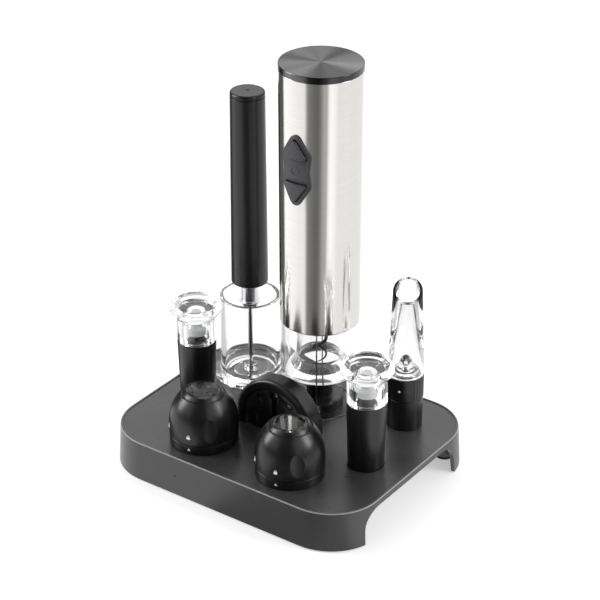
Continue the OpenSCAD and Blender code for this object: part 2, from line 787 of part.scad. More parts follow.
module pump_cap() {
    edge = 2.2;
    t = 4.9;
    color([0.045, 0.045, 0.05]) translate([pump_at[0], pump_at[1], handle_top - t]) difference() {
        union() {
            translate([0, 0, -5]) cylinder(r = tube_bore_r - 0.02, h = 5.1);
            rotate_extrude() polygon(concat([[0, 0], [handle_top_r, 0]],
                [for (a = [0:10:90]) [handle_top_r - edge + edge * cos(a), t - edge + edge * sin(a)]], [[0, t]]));
        }
        translate([0, 0, t + 2.2]) sphere(r = 3);
    }
}

// ---- Bottle stoppers -----------------------------------------------------

module stopper_plug(side) {
    color([0.05, 0.05, 0.055]) translate([side * stopper_x, -stopper_front, 0]) difference() {
        union() {
            translate([0, 0, plug_low]) cylinder(r1 = plug_low_r - 1, r2 = plug_low_r, h = 1);
            translate([0, 0, plug_low + 1]) cylinder(r1 = plug_low_r, r2 = plug_r, h = plug_top - plug_low - 1);
        }
        translate([0, 0, plug_low - cut]) cylinder(r = 4.5, h = plug_top);
        translate([0, 0, plug_top - 6]) cylinder(r = 9, h = 7);
    }
}

module stopper_head(side) {
    w = plug_r - 0.1;
    h = head_h;
    neck = 14;
    hollow = [[0, -cut], [6.2, -cut], [6.2, 9.4], [3.6, 12.4], [3.6, 16.2], [0, 16.2]];
    profile = [[0, 0.05], [w, 0.05], [w, neck], [w + 0.6, neck + 2.2], [head_r, h - 4.6], [head_r, h - 2.4],
        [head_r - 0.8, h - 0.9], [head_r - 2.2, h], [dish_r + 0.4, h - 3.2], [dish_r, h - 3.1], [dish_r / 2, h - 2.75],
        [0, h - 2.65]];
    color([0.92, 0.94, 0.96, 0.35]) translate([side * stopper_x, -stopper_front, plug_top]) difference() {
        rotate_extrude() polygon(profile);
        rotate_extrude() polygon(hollow);
        rotate(notch_turn - 90) translate([head_r + 1.9, 0, h + 2]) sphere(r = 7.5);
    }
}

module stopper_valve(side) {
    color([0.06, 0.06, 0.065]) translate([side * stopper_x, -stopper_front, plug_top]) {
        translate([0, 0, -5.9]) cylinder(r = 8.9, h = 5.8);
        translate([0, 0, -0.15]) cylinder(r = 5.6, h = 9);
        translate([0, 0, 8.8]) cylinder(r1 = 5.6, r2 = 3, h = 3);
        translate([0, 0, 11.7]) cylinder(r = 3, h = 4);
    }
}

module stopper_plug_1() { stopper_plug(-1); }

module stopper_head_1() { stopper_head(-1); }

module stopper_valve_1() { stopper_valve(-1); }

module stopper_plug_2() { stopper_plug(1); }

module stopper_head_2() { stopper_head(1); }

module stopper_valve_2() { stopper_valve(1); }

// ---- Pourer --------------------------------------------------------------

module pourer_body() {
    low = well_floor + 2;
    color([0.05, 0.05, 0.055]) translate([pourer_at[0], pourer_at[1], 0]) difference() {
        union() {
            translate([0, 0, low]) cylinder(r1 = pourer_stem_r - 1.4, r2 = pourer_stem_r, h = 4);
            translate([0, 0, low + 4]) cylinder(r = pourer_stem_r, h = dial_z - low - 4 - 17);
            translate([0, 0, rest_z]) cylinder(r = pourer_r - 0.3, h = dial_z - rest_z - slide_gap);
            translate([0, 0, dial_z - 1]) cylinder(r = 7.6, h = dial_h + 1.5);
        }
        translate([0, 0, low - cut]) cylinder(r = 4, h = 80);
    }
}

module pourer_dial() {
    ribs = 36;
    color([0.06, 0.06, 0.065]) translate([pourer_at[0], pourer_at[1], dial_z]) difference() {
        cylinder(r = pourer_r, h = dial_h - slide_gap);
        translate([0, 0, -cut]) cylinder(r = 7.6 + run_gap, h = dial_h + 2 * cut);
        for (i = [0:ribs - 1]) if (abs(i - ribs * 0.75) > 4) rotate(i * 360 / ribs)
            translate([pourer_r + 0.25, 0, 1.5]) cylinder(r = 0.6, h = dial_h - slide_gap - 3);
    }
}

module pourer_spout() {
    h = spout_len;
    turn = mouth_turn - 90;
    color([0.92, 0.94, 0.96, 0.35]) translate([pourer_at[0], pourer_at[1], spout_z]) difference() {
        cylinder(r1 = pourer_r, r2 = spout_top_r, h = h);
        translate([0, 0, -cut]) cylinder(r = 7.7, h = cut + 1.2);
        translate([0, 0, 1.1]) cylinder(r1 = pourer_r - spout_wall, r2 = spout_top_r - spout_wall, h = h);
        rotate(turn) translate([-spout_top_r, 0, h]) rotate([0, mouth_tilt, 0])
            translate([-10, -20, 0]) cube([50, 40, 30]);
    }
}

module pourer_jet() {
    color([0.85, 0.87, 0.9, 0.5]) translate([pourer_at[0], pourer_at[1], spout_z + 1.15]) difference() {
        union() {
            cylinder(r = 7.4, h = 1.6);
            cylinder(r1 = 5.4, r2 = 4.6, h = 5);
            translate([0, 0, 5]) sphere(r = 4.6);
        }
        translate([0, 0, -10 - cut]) cylinder(r = 12, h = 10 + cut);
        translate([0, 0, -cut]) cylinder(r = 1.6, h = 20);
    }
}

// ---- Sparkling-wine stoppers ---------------------------------------------

function dome_height(r) = dome_mid + (dome_top - 0.9 - dome_mid) * pow(1 - pow(r / dome_r, dome_power), 1 / dome_power);

module sparkling_base(side) {
    color([0.05, 0.05, 0.055]) translate([side * sparkling_side, sparkling_y, 0]) {
        translate([0, 0, rest_z]) tube(base_r, lip_r, base_h);
        translate([0, 0, rest_z + base_h - 0.02]) tube(lip_r + 1.6, lip_r, 13);
    }
}

module sparkling_seal(side) {
    color([0.3, 0.3, 0.3]) translate([side * sparkling_side, sparkling_y, rest_z + base_h + 10.9]) {
        cylinder(r = lip_r - 0.05, h = 2);
        translate([0, 0, 1.9]) cylinder(r = 6, h = 3);
    }
}

module sparkling_dome(side) {
    inner_top = dome_top - lens_t - 1.9;
    grip = concat([[0, -grip_tall]], [for (a = [-75:15:75]) [grip_deep * cos(a), grip_tall * sin(a)]], [[0, grip_tall]]);
    out = [for (i = [0:2:24]) let (r = dome_r * cos(90 * i / 26)) [r, dome_height(r)]];
    low = [[dome_r - 0.5, dome_z], [dome_r - 0.1, dome_mid - 2]];
    top = [[lens_r + 2.8, dome_height(lens_r + 2.8) - 0.5], [lens_r + 0.2, dome_height(lens_r) - 0.1],
        [lens_r + 0.2, dome_top - lens_t - 0.05], [6.5, dome_top - lens_t - 0.05], [6.5, inner_top]];
    inside = [[lip_r - 1, inner_top], [dome_r - dome_wall, dome_mid + 6], [dome_r - dome_wall, dome_z]];
    outline = concat(low, [for (p = out) if (p[0] > lens_r + 3) p], top, inside);
    color([0.055, 0.055, 0.06]) translate([side * sparkling_side, sparkling_y, 0]) difference() {
        rotate_extrude() polygon(outline);
        for (t = [0, 180]) rotate(grip_turn - 90 + t) translate([dome_r + 3.6, 0, dome_mid + 5]) rotate([0, -9, 0])
            rotate_extrude() polygon(grip);
    }
}

module sparkling_lens(side) {
    edge = 1.2;
    t = lens_t;
    color([0.25, 0.25, 0.27, 0.5]) translate([side * sparkling_side, sparkling_y, dome_top - t]) rotate_extrude()
        polygon(concat([[0, 0], [lens_r, 0]],
            [for (a = [0:15:90]) [lens_r - edge + edge * cos(a), t - 0.5 - edge + edge * sin(a)]], [[0, t]]));
}

module sparkling_base_1() { sparkling_base(-1); }

module sparkling_seal_1() { sparkling_seal(-1); }

module sparkling_dome_1() { sparkling_dome(-1); }

module sparkling_lens_1() { sparkling_lens(-1); }

module sparkling_base_2() { sparkling_base(1); }

module sparkling_seal_2() { sparkling_seal(1); }

module sparkling_dome_2() { sparkling_dome(1); }

module sparkling_lens_2() { sparkling_lens(1); }

// ---- Foil cutter ---------------------------------------------------------

module foil_frame() {
    slot = wheel_t + 0.8;
    color([0.05, 0.05, 0.055]) translate([0, foil_y, rest_z]) difference() {
        rotate([90, 0, 0]) translate([0, 0, -foil_t / 2]) linear_extrude(foil_t) difference() {
            horseshoe(0);
            horseshoe(foil_arm);
        }
        for (s = [-1, 1]) translate([s * (foil_r + 1.4), 0, 9]) sphere(r = 3);
    }
    color([0.05, 0.05, 0.055]) translate([0, foil_y, rest_z]) difference() {
        rotate([90, 0, 0]) translate([0, 0, -foil_t / 2 + jaw_inset]) linear_extrude(foil_t - 2 * jaw_inset) difference() {
            horseshoe(foil_arm - 0.5);
            translate([-jaw_gap / 2, -1]) square([jaw_gap, key_z + 1]);
            translate([0, key_z]) circle(r = key_r);
        }
        for (s = [-1, 1], t = [-1, 1]) {
            translate([s * wheel_x, t * wheel_y, wheel_z]) rotate([90, 0, 0]) translate([0, 0, -slot / 2])
                cylinder(r = wheel_r + 0.5, h = slot);
            translate([s * window_x, t * (wheel_y + 3), window_z]) cube([3.4, 6, 3.4], center = true);
            translate([s * 14.4, t * (foil_t / 2 + 3.1), 6.2]) rotate_extrude() polygon(grip_outline());
        }
        for (s = [-1, 1]) translate([s * wheel_x, 0, wheel_z]) rotate([90, 0, 0]) translate([0, 0, -foil_t])
            cylinder(r = 0.8, h = 2 * foil_t);
    }
}

// Half outline of the oval finger rest in a jaw
function grip_outline() = concat([[0, -8.6]], [for (a = [-75:15:75]) [4.6 * cos(a), 8.6 * sin(a)]], [[0, 8.6]]);

module horseshoe(inset) {
    r = foil_r - inset;
    difference() {
        union() {
            translate([0, arch_mid]) circle(r = r);
            translate([-r, 0]) square([2 * r, arch_mid]);
        }
        translate([-foil_r, -2 * foil_r]) square([foil_w, 2 * foil_r]);
    }
}

module foil_pins() {
    color([0.7, 0.7, 0.72]) for (s = [-1, 1]) translate([s * wheel_x, foil_y, rest_z + wheel_z])
        rotate([90, 0, 0]) translate([0, 0, -foil_t / 2 + jaw_inset + 0.1]) cylinder(r = 0.8, h = foil_t - 2 * jaw_inset - 0.2);
}

module foil_wheel(side, face) {
    color([0.8, 0.8, 0.82]) translate([side * wheel_x, foil_y + face * wheel_y, rest_z + wheel_z]) rotate([90, 0, 0])
        translate([0, 0, -wheel_t / 2]) difference() {
            union() {
                cylinder(r1 = wheel_r - 0.5, r2 = wheel_r, h = wheel_t / 2);
                translate([0, 0, wheel_t / 2]) cylinder(r1 = wheel_r, r2 = wheel_r - 0.5, h = wheel_t / 2);
            }
            translate([0, 0, -cut]) cylinder(r = 0.8 + run_gap, h = wheel_t + 2 * cut);
        }
}

module foil_wheel_1() { foil_wheel(-1, -1); }

module foil_wheel_2() { foil_wheel(-1, 1); }

module foil_wheel_3() { foil_wheel(1, -1); }

module foil_wheel_4() { foil_wheel(1, 1); }

// ---- Assembly ------------------------------------------------------------

stand_shell();
stand_base_cover();
stand_feet();
stand_screws();
charging_post();
contact_pins();
stand_circuit_board();
status_light();
power_socket();
steel_casing();
top_cap();
button_panel();
inner_frame();
battery_cells();
control_board();
drive_motor();
ring_gear_housing();
clear_barrel();
bottle_guide();
charging_terminals();
up_button();
down_button();
motor_pinion();
planet_carrier();
spiral_screw();
planet_gear_1();
planet_gear_2();
planet_gear_3();
needle_guard();
pump_neck();
pump_needle();
piston_rod();
piston_seal();
pump_handle();
pump_cap();
stopper_plug_1();
stopper_head_1();
stopper_valve_1();
stopper_plug_2();
stopper_head_2();
stopper_valve_2();
pourer_body();
pourer_dial();
pourer_spout();
pourer_jet();
sparkling_base_1();
sparkling_seal_1();
sparkling_dome_1();
sparkling_lens_1();
sparkling_base_2();
sparkling_seal_2();
sparkling_dome_2();
sparkling_lens_2();
foil_frame();
foil_pins();
foil_wheel_1();
foil_wheel_2();
foil_wheel_3();
foil_wheel_4();
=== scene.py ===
"""Looks for an electric wine opener set on its charging stand, laid out as a Blender add-on."""

import json
import math

import bmesh
import bpy
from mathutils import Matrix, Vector


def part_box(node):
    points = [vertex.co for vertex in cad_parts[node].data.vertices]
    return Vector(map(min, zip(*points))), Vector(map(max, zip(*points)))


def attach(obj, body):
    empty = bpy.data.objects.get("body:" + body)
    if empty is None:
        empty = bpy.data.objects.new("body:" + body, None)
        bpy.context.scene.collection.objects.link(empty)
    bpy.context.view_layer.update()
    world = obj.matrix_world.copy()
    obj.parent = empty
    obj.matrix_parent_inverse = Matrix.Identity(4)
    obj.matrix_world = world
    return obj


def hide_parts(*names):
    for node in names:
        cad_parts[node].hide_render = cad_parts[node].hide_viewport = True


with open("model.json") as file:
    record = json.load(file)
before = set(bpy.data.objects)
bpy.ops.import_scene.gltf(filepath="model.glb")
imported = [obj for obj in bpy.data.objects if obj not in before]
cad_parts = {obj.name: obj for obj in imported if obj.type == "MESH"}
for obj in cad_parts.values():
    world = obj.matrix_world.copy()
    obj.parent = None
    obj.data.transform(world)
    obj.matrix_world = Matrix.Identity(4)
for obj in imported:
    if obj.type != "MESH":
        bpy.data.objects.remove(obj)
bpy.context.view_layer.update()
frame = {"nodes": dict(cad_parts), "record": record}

bl_info = {
    "name": "Wine Opener Set",
    "version": (1, 0, 0), "blender": (4, 5, 0),
    "location": "View3D > Sidebar > Wine Opener",
    "description": "Builds the finished surfaces of a wine opener set around its CAD frame",
    "category": "Object",
}

MM = 0.001
SKIN = 0.07 * MM      # how far a printed mark stands on its surface
TURNS = 128           # segments of a turned piece


# ---- Places from the frame -------------------------------------------------

def low_of(node):
    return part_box(node)[0]


def high_of(node):
    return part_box(node)[1]


def centre_of(node):
    low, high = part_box(node)
    return (low + high) / 2


# ---- Outlines ----------------------------------------------------------------

def rounded(points, radii, steps=5, support=0.0):
    """A closed outline with its corners rounded. A radius of 0 keeps a corner, and support adds a
    point beside each arc, which keeps shading inside the arc."""
    outline = []
    count = len(points)
    for i, (point, radius) in enumerate(zip(points, radii)):
        here = Vector(point)
        to_last = Vector(points[i - 1]) - here
        to_next = Vector(points[(i + 1) % count]) - here
        if radius <= 0 or to_last.length < 1e-9 or to_next.length < 1e-9:
            outline.append(here)
            continue
        u, v = to_last.normalized(), to_next.normalized()
        half = math.acos(max(-1, min(1, u.dot(v)))) / 2
        if half > math.radians(88):
            outline.append(here)
            continue
        reach = min(radius / math.tan(half), 0.48 * to_last.length, 0.48 * to_next.length)
        r = reach * math.tan(half)
        middle = here + (u + v).normalized() * r / math.sin(half)
        start = here + u * reach - middle
        end = here + v * reach - middle
        turn = math.atan2(start.x * end.y - start.y * end.x, start.dot(end))
        if support:
            outline.append(here + u * (reach + min(support, 0.2 * (to_last.length - reach))))
        for k in range(steps + 1):
            a = turn * k / steps
            c, s = math.cos(a), math.sin(a)
            outline.append(middle + Vector((start.x * c - start.y * s, start.x * s + start.y * c)))
        if support:
            outline.append(here + v * (reach + min(support, 0.2 * (to_next.length - reach))))
    return outline


def offset(outline, distance):
    """A closed counterclockwise outline moved inward by distance."""
    count = len(outline)
    moved = []
    for i, here in enumerate(outline):
        before = (here - outline[i - 1]).normalized()
        after = (outline[(i + 1) % count] - here).normalized()
        normal = Vector((-before.y - after.y, before.x + after.x)) / 2
        size = max(normal.length_squared, 0.25)
        moved.append(here + normal * (distance / size))
    return moved


def mm(points):
    return [(x * MM, y * MM) for x, y in points]


# ---- Meshes --------------------------------------------------------------------

def bridge(bm, a, b):
    count = max(len(a), len(b))
    if len(a) == len(b) == 1:
        return
    for i in range(count):
        k = (i + 1) % count
        if len(a) == 1:
            bm.faces.new((a[0], b[i], b[k]))
        elif len(b) == 1:
            bm.faces.new((a[i], b[0], a[k]))
        else:
            bm.faces.new((a[i], b[i], b[k], a[k]))


def lathe(profile, centre, turns=TURNS, shape=None):
    """A closed profile of (radius, height) points turned about a vertical axis. shape(radius, angle, z)
    may move a point before it is placed."""
    bm = bmesh.new()
    rings = []
    for r, z in profile:
        angles = [0.0] if r < 1e-7 else [2 * math.pi * i / turns for i in range(turns)]
        ring = []
        for a in angles:
            rr, zz = (r, z) if shape is None else shape(r, a, z)
            ring.append(bm.verts.new((centre.x + rr * math.sin(a), centre.y - rr * math.cos(a), zz)))
        rings.append(ring)
    for a, b in zip(rings, rings[1:] + rings[:1]):
        bridge(bm, a, b)
    return bm


def loft(rings):
    """Rings of points of one length joined in order, with both ends closed."""
    bm = bmesh.new()
    made = [[bm.verts.new(p) for p in ring] for ring in rings]
    for a, b in zip(made, made[1:]):
        bridge(bm, a, b)
    bm.faces.new(made[0])
    bm.faces.new(made[-1])
    return bm


def prism(outline, axis, low, high):
    """An outline pushed along X, Y or Z. Its own two axes are the others, in X, Y, Z order."""
    places = {"X": lambda p, t: (t, p[0], p[1]), "Y": lambda p, t: (p[0], t, p[1]),
              "Z": lambda p, t: (p[0], p[1], t)}
    return loft([[places[axis](p, t) for p in outline] for t in (low, high)])


def block(low, high):
    outline = [(low[0], low[1]), (high[0], low[1]), (high[0], high[1]), (low[0], high[1])]
    return prism(outline, "Z", low[2], high[2])


def rod(radius, low, high, centre, turns=48):
    return lathe([(0, low), (radius, low), (radius, high), (0, high)], centre, turns)


def sweep(path, section, up):
    """A closed section of (sideways, along up) points carried along a path."""
    rings = []
    last = len(path) - 1
    for i, point in enumerate(path):
        tangent = (path[min(i + 1, last)] - path[max(i - 1, 0)]).normalized()
        side = tangent.cross(up).normalized()
        rings.append([point + side * s + up * t for s, t in section])
    return loft(rings)


def new_mesh(bm, name):
    bmesh.ops.remove_doubles(bm, verts=bm.verts, dist=1e-7)
    bmesh.ops.recalc_face_normals(bm, faces=bm.faces)
    mesh = bpy.data.meshes.new(name)
    bm.to_mesh(mesh)
    bm.free()
    return mesh


def solved(obj):
    """The object's mesh with its modifiers applied."""
    bpy.context.view_layer.update()
    depsgraph = bpy.context.evaluated_depsgraph_get()
    mesh = bpy.data.meshes.new_from_object(obj.evaluated_get(depsgraph))
    obj.modifiers.clear()
    old = obj.data
    obj.data = mesh
    bpy.data.meshes.remove(old)
    return obj


def combine(bm, others, how="DIFFERENCE"):
    """bm with the other meshes cut from it or joined to it, as a new bmesh."""
    base = bpy.data.objects.new("base", new_mesh(bm, "base"))
    bpy.context.scene.collection.objects.link(base)
    tools = []
    for other in others:
        tool = bpy.data.objects.new("tool", new_mesh(other, "tool"))
        bpy.context.scene.collection.objects.link(tool)
        tools.append(tool)
        modifier = base.modifiers.new("cut", "BOOLEAN")
        modifier.object = tool
        modifier.operation = how
        modifier.solver = "EXACT"
    solved(base)
    result = bmesh.new()
    result.from_mesh(base.data)
    for obj in tools + [base]:
        mesh = obj.data
        bpy.data.objects.remove(obj)
        bpy.data.meshes.remove(mesh)
    return result


def piece(name, bm, finish, body, nodes=(), slot=None, sharp=38, bevel=0.0, angle=50, even=False):
    """A finished piece: smooth shading with sharp edges kept, a material, and the body that it rides on.
    even lets the large flat faces set the shading of the small ones beside them."""
    obj = bpy.data.objects.new(name, new_mesh(bm, name))
    bpy.context.scene.collection.objects.link(obj)
    if bevel:
        modifier = obj.modifiers.new("edges", "BEVEL")
        modifier.width = bevel
        modifier.segments = 2
        modifier.limit_method = "ANGLE"
        modifier.angle_limit = math.radians(angle)
        modifier.use_clamp_overlap = True
        solved(obj)
    obj.data.name = name
    obj.data.polygons.foreach_set("use_smooth", [True] * len(obj.data.polygons))
    obj.data.set_sharp_from_angle(angle=math.radians(sharp))
    if even:
        modifier = obj.modifiers.new("even", "WEIGHTED_NORMAL")
        modifier.keep_sharp = True
        modifier.weight = 90
        solved(obj)
        obj.data.name = name
    obj.data.materials.clear()
    obj.data.materials.append(finish_named(finish))
    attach(obj, body)
    if nodes:
        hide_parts(*nodes)
    return obj


def turned(name, points, radii, centre, finish, body, nodes=(), **options):
    """A turned piece from a profile in millimetres, with its heights above the floor."""
    turns = options.pop("turns", TURNS)
    shape = options.pop("shape", None)
    profile = rounded(mm(points), [r * MM for r in radii], steps=4, support=0.15 * MM)
    profile = [(max(p.x, 0.0), p.y) for p in profile]
    return piece(name, lathe(profile, centre, turns, shape), finish, body, nodes, **options)


# ---- Shader groups ---------------------------------------------------------------

def new_group(name, inputs, outputs):
    group = bpy.data.node_groups.new(name, "ShaderNodeTree")
    for label, default in inputs:
        made = group.interface.new_socket(name=label, in_out="INPUT", socket_type="NodeSocketFloat")
        made.default_value = default
    for label in outputs:
        group.interface.new_socket(name=label, in_out="OUTPUT", socket_type="NodeSocketFloat")
    return group, group.nodes.new("NodeGroupInput"), group.nodes.new("NodeGroupOutput")


def add(tree, kind, **values):
    node = tree.nodes.new(kind)
    for key, value in values.items():
        if key in node.bl_rna.properties:
            setattr(node, key, value)
        else:
            node.inputs[key.replace("_", " ")].default_value = value
    return node


def maths(tree, how, a, b, clamp=False):
    node = tree.nodes.new("ShaderNodeMath")
    node.operation = how
    node.use_clamp = clamp
    for socket, value in zip(node.inputs, (a, b)):
        if isinstance(value, (int, float)):
            socket.default_value = value
        else:
            tree.links.new(value, socket)
    return node.outputs[0]


def moulded_grain():
    """Fine moulding texture: Height for a bump and Shade from 0 to 1 for roughness."""
    group = bpy.data.node_groups.get("moulded_grain")
    if group:
        return group
    group, inputs, outputs = new_group("moulded_grain", [("Scale", 2500), ("Patches", 60)],
                                       ["Height", "Shade"])
    place = add(group, "ShaderNodeTexCoord").outputs["Object"]
    fine = add(group, "ShaderNodeTexNoise", Detail=3.0, Roughness=0.6)
    broad = add(group, "ShaderNodeTexNoise", Detail=2.0, Roughness=0.5)
    for tool, label in ((fine, "Scale"), (broad, "Patches")):
        group.links.new(place, tool.inputs["Vector"])
        group.links.new(inputs.outputs[label], tool.inputs["Scale"])
    mixed = maths(group, "MULTIPLY", maths(group, "ADD", fine.outputs[0], broad.outputs[0]), 0.5, True)
    group.links.new(fine.outputs[0], outputs.inputs["Height"])
    group.links.new(mixed, outputs.inputs["Shade"])
    return group


def brushed_lines():
    """Lines that run round the vertical axis: Height and Shade."""
    group = bpy.data.node_groups.get("brushed_lines")
    if group:
        return group
    group, inputs, outputs = new_group("brushed_lines", [("Along", 25), ("Across", 7000)],
                                       ["Height", "Shade"])
    place = add(group, "ShaderNodeTexCoord").outputs["Object"]
    split = add(group, "ShaderNodeSeparateXYZ")
    group.links.new(place, split.inputs[0])
    joined = add(group, "ShaderNodeCombineXYZ")
    for axis, label in ((0, "Along"), (1, "Along"), (2, "Across")):
        scaled = maths(group, "MULTIPLY", split.outputs[axis], inputs.outputs[label])
        group.links.new(scaled, joined.inputs[axis])
    lines = add(group, "ShaderNodeTexNoise", Scale=1.0, Detail=4.0, Roughness=0.7)
    group.links.new(joined.outputs[0], lines.inputs["Vector"])
    group.links.new(lines.outputs[0], outputs.inputs["Height"])
    group.links.new(lines.outputs[0], outputs.inputs["Shade"])
    return group


def spun_rings_and_sheen():
    """Turning marks round a vertical axis at a given place: Height, Shade, and a painted highlight
    of paler sectors, like the sheen of a spun top."""
    group = bpy.data.node_groups.get("spun_rings_and_sheen")
    if group:
        return group
    group, inputs, outputs = new_group("spun_rings_and_sheen", [("Centre X", 0), ("Centre Y", 0), ("Pitch", 0.0005)],
                                       ["Height", "Shade", "PaintedSheen"])
    place = add(group, "ShaderNodeTexCoord").outputs["Object"]
    split = add(group, "ShaderNodeSeparateXYZ")
    group.links.new(place, split.inputs[0])
    x = maths(group, "SUBTRACT", split.outputs[0], inputs.outputs["Centre X"])
    y = maths(group, "SUBTRACT", split.outputs[1], inputs.outputs["Centre Y"])
    squares = maths(group, "ADD", maths(group, "MULTIPLY", x, x), maths(group, "MULTIPLY", y, y))
    radius = maths(group, "SQRT", squares, 0)
    phase = maths(group, "DIVIDE", radius, inputs.outputs["Pitch"])
    ring = maths(group, "PINGPONG", phase, 1.0)
    lines = add(group, "ShaderNodeTexNoise", noise_dimensions="1D", Scale=2.3, Detail=2.0)
    group.links.new(phase, lines.inputs["W"])
    height = maths(group, "MULTIPLY", maths(group, "ADD", ring, lines.outputs[0]), 0.5)
    group.links.new(height, outputs.inputs["Height"])
    group.links.new(lines.outputs[0], outputs.inputs["Shade"])
    # Paler sectors by angle: a painted highlight in the colour, not a mark of the turning
    turn = maths(group, "ARCTAN2", y, x)
    broad = maths(group, "SINE", maths(group, "ADD", maths(group, "MULTIPLY", turn, 3.0), 0.6), 0)
    narrow = maths(group, "SINE", maths(group, "MULTIPLY", turn, 7.0), 0)
    painted_sheen = maths(group, "ADD", maths(group, "MULTIPLY", broad, 0.32), maths(group, "MULTIPLY", narrow, 0.18))
    group.links.new(maths(group, "ADD", painted_sheen, 0.5, True), outputs.inputs["PaintedSheen"])
    return group


def edge_wear():
    """Mask of the convex edges that handling polishes."""
    group = bpy.data.node_groups.get("edge_wear")
    if group:
        return group
    group, inputs, outputs = new_group("edge_wear", [("Start", 0.58), ("Amount", 0.5)], ["Mask"])
    point = add(group, "ShaderNodeNewGeometry").outputs["Pointiness"]
    over = maths(group, "SUBTRACT", point, inputs.outputs["Start"])
    broken = add(group, "ShaderNodeTexNoise", Scale=350.0, Detail=3.0)
    group.links.new(add(group, "ShaderNodeTexCoord").outputs["Object"], broken.inputs["Vector"])
    steep = maths(group, "MULTIPLY", over, 9.0, True)
    mask = maths(group, "MULTIPLY", maths(group, "MULTIPLY", steep, broken.outputs[0]),
                 inputs.outputs["Amount"], True)
    group.links.new(mask, outputs.inputs["Mask"])
    return group


def settled_dust():
    """Mask of faint dust, thicker on faces that look up."""
    group = bpy.data.node_groups.get("settled_dust")
    if group:
        return group
    group, inputs, outputs = new_group("settled_dust", [("Scale", 900), ("Amount", 0.1)], ["Mask"])
    up = add(group, "ShaderNodeSeparateXYZ")
    group.links.new(add(group, "ShaderNodeNewGeometry").outputs["Normal"], up.inputs[0])
    specks = add(group, "ShaderNodeTexNoise", Detail=5.0, Roughness=0.75)
    group.links.new(add(group, "ShaderNodeTexCoord").outputs["Object"], specks.inputs["Vector"])
    group.links.new(inputs.outputs["Scale"], specks.inputs["Scale"])
    facing = maths(group, "MULTIPLY_ADD", up.outputs[2], 0.5)
    facing.node.inputs[2].default_value = 0.5
    mask = maths(group, "MULTIPLY", maths(group, "MULTIPLY", facing, specks.outputs[0]),
                 inputs.outputs["Amount"], True)
    group.links.new(mask, outputs.inputs["Mask"])
    return group


# ---- Materials -------------------------------------------------------------------

def new_material(name, **values):
    material = bpy.data.materials.new(name)
    material.use_nodes = True
    tree = material.node_tree
    shader = tree.nodes["Principled BSDF"]
    for key, value in values.items():
        shader.inputs[key.replace("_", " ")].default_value = value
    return material, tree, shader


def use(tree, group, **values):
    node = tree.nodes.new("ShaderNodeGroup")
    node.node_tree = group
    for key, value in values.items():
        node.inputs[key.replace("_", " ")].default_value = value
    return node


def spread(tree, value, low, high):
    """value from 0..1 taken to low..high."""
    node = tree.nodes.new("ShaderNodeMapRange")
    node.inputs["To Min"].default_value = low
    node.inputs["To Max"].default_value = high
    node.inputs["From Min"].default_value = 0.3
    node.inputs["From Max"].default_value = 0.7
    tree.links.new(value, node.inputs["Value"])
    return node.outputs[0]


def tint(tree, mask, base, over):
    node = tree.nodes.new("ShaderNodeMix")
    node.data_type = "RGBA"
    node.inputs[6].default_value = (*base, 1)
    node.inputs[7].default_value = (*over, 1)
    tree.links.new(mask, node.inputs[0])
    return node.outputs[2]


def bump(tree, shader, height, depth, strength=1.0):
    node = tree.nodes.new("ShaderNodeBump")
    node.inputs["Distance"].default_value = depth
    node.inputs["Strength"].default_value = strength
    tree.links.new(height, node.inputs["Height"])
    tree.links.new(node.outputs[0], shader.inputs["Normal"])


def moulded(name, colour, rough, grain=2500, depth=0.02 * MM, dust=0.08, wear=0.35, shine=0.5, coat=0.0):
    """Moulded plastic or rubber with fine grain, a little dust and polished edges."""
    material, tree, shader = new_material(name, Specular_IOR_Level=shine, Coat_Weight=coat,
                                          Coat_Roughness=0.06)
    texture = use(tree, moulded_grain(), Scale=grain, Patches=90)
    worn = use(tree, edge_wear(), Amount=wear)
    dusty = use(tree, settled_dust(), Amount=dust)
    light = [min(1.0, c * 1.5 + 0.004) for c in colour]
    grey = [c * 0.8 + 0.02 for c in colour]
    mask = maths(tree, "ADD", worn.outputs[0], dusty.outputs[0], True)
    both = [0.5 * (a + b) for a, b in zip(light, grey)]
    tree.links.new(tint(tree, mask, colour, both), shader.inputs["Base Color"])
    tree.links.new(spread(tree, texture.outputs["Shade"], rough - 0.04, rough + 0.05),
                   shader.inputs["Roughness"])
    bump(tree, shader, texture.outputs["Height"], depth)
    return material


def stand_plastic(name, colour):
    """The stand's satin moulding, with a painted highlight: a pale line along its top rim."""
    material = moulded(name, colour, 0.3, 1800, 0.02 * MM, dust=0.03, shine=0.6)
    tree = material.node_tree
    shader = next(node for node in tree.nodes if node.type == "BSDF_PRINCIPLED")
    surface = add(tree, "ShaderNodeNewGeometry")
    place, facing = add(tree, "ShaderNodeSeparateXYZ"), add(tree, "ShaderNodeSeparateXYZ")
    tree.links.new(surface.outputs["Position"], place.inputs[0])
    tree.links.new(surface.outputs["Normal"], facing.inputs[0])
    at_rim = maths(tree, "GREATER_THAN", place.outputs[2], STAND_TOP - RIM_DEPTH)
    sloping = maths(tree, "COMPARE", facing.outputs[2], RIM_SLOPE)
    sloping.node.inputs[2].default_value = RIM_SPREAD
    # Painted highlight: the rim's sloping faces take a pale base colour in place of the light they catch
    rim_highlight_mix = add(tree, "ShaderNodeMix", data_type="RGBA")
    tree.links.new(maths(tree, "MULTIPLY", at_rim, sloping), rim_highlight_mix.inputs[0])
    tree.links.new(shader.inputs["Base Color"].links[0].from_socket, rim_highlight_mix.inputs[6])
    rim_highlight_mix.inputs[7].default_value = (*RIM_HIGHLIGHT_PAINT, 1.0)
    tree.links.new(rim_highlight_mix.outputs[2], shader.inputs["Base Color"])
    return material


# Colour of the painted highlight along the stand's rim
RIM_HIGHLIGHT_PAINT = (0.3, 0.3, 0.3)
RIM_DEPTH = 0.75 * MM                    # how far down from the rim the painted highlight reaches
RIM_SLOPE, RIM_SPREAD = 0.56, 0.42       # faces between upright and level take the painted highlight
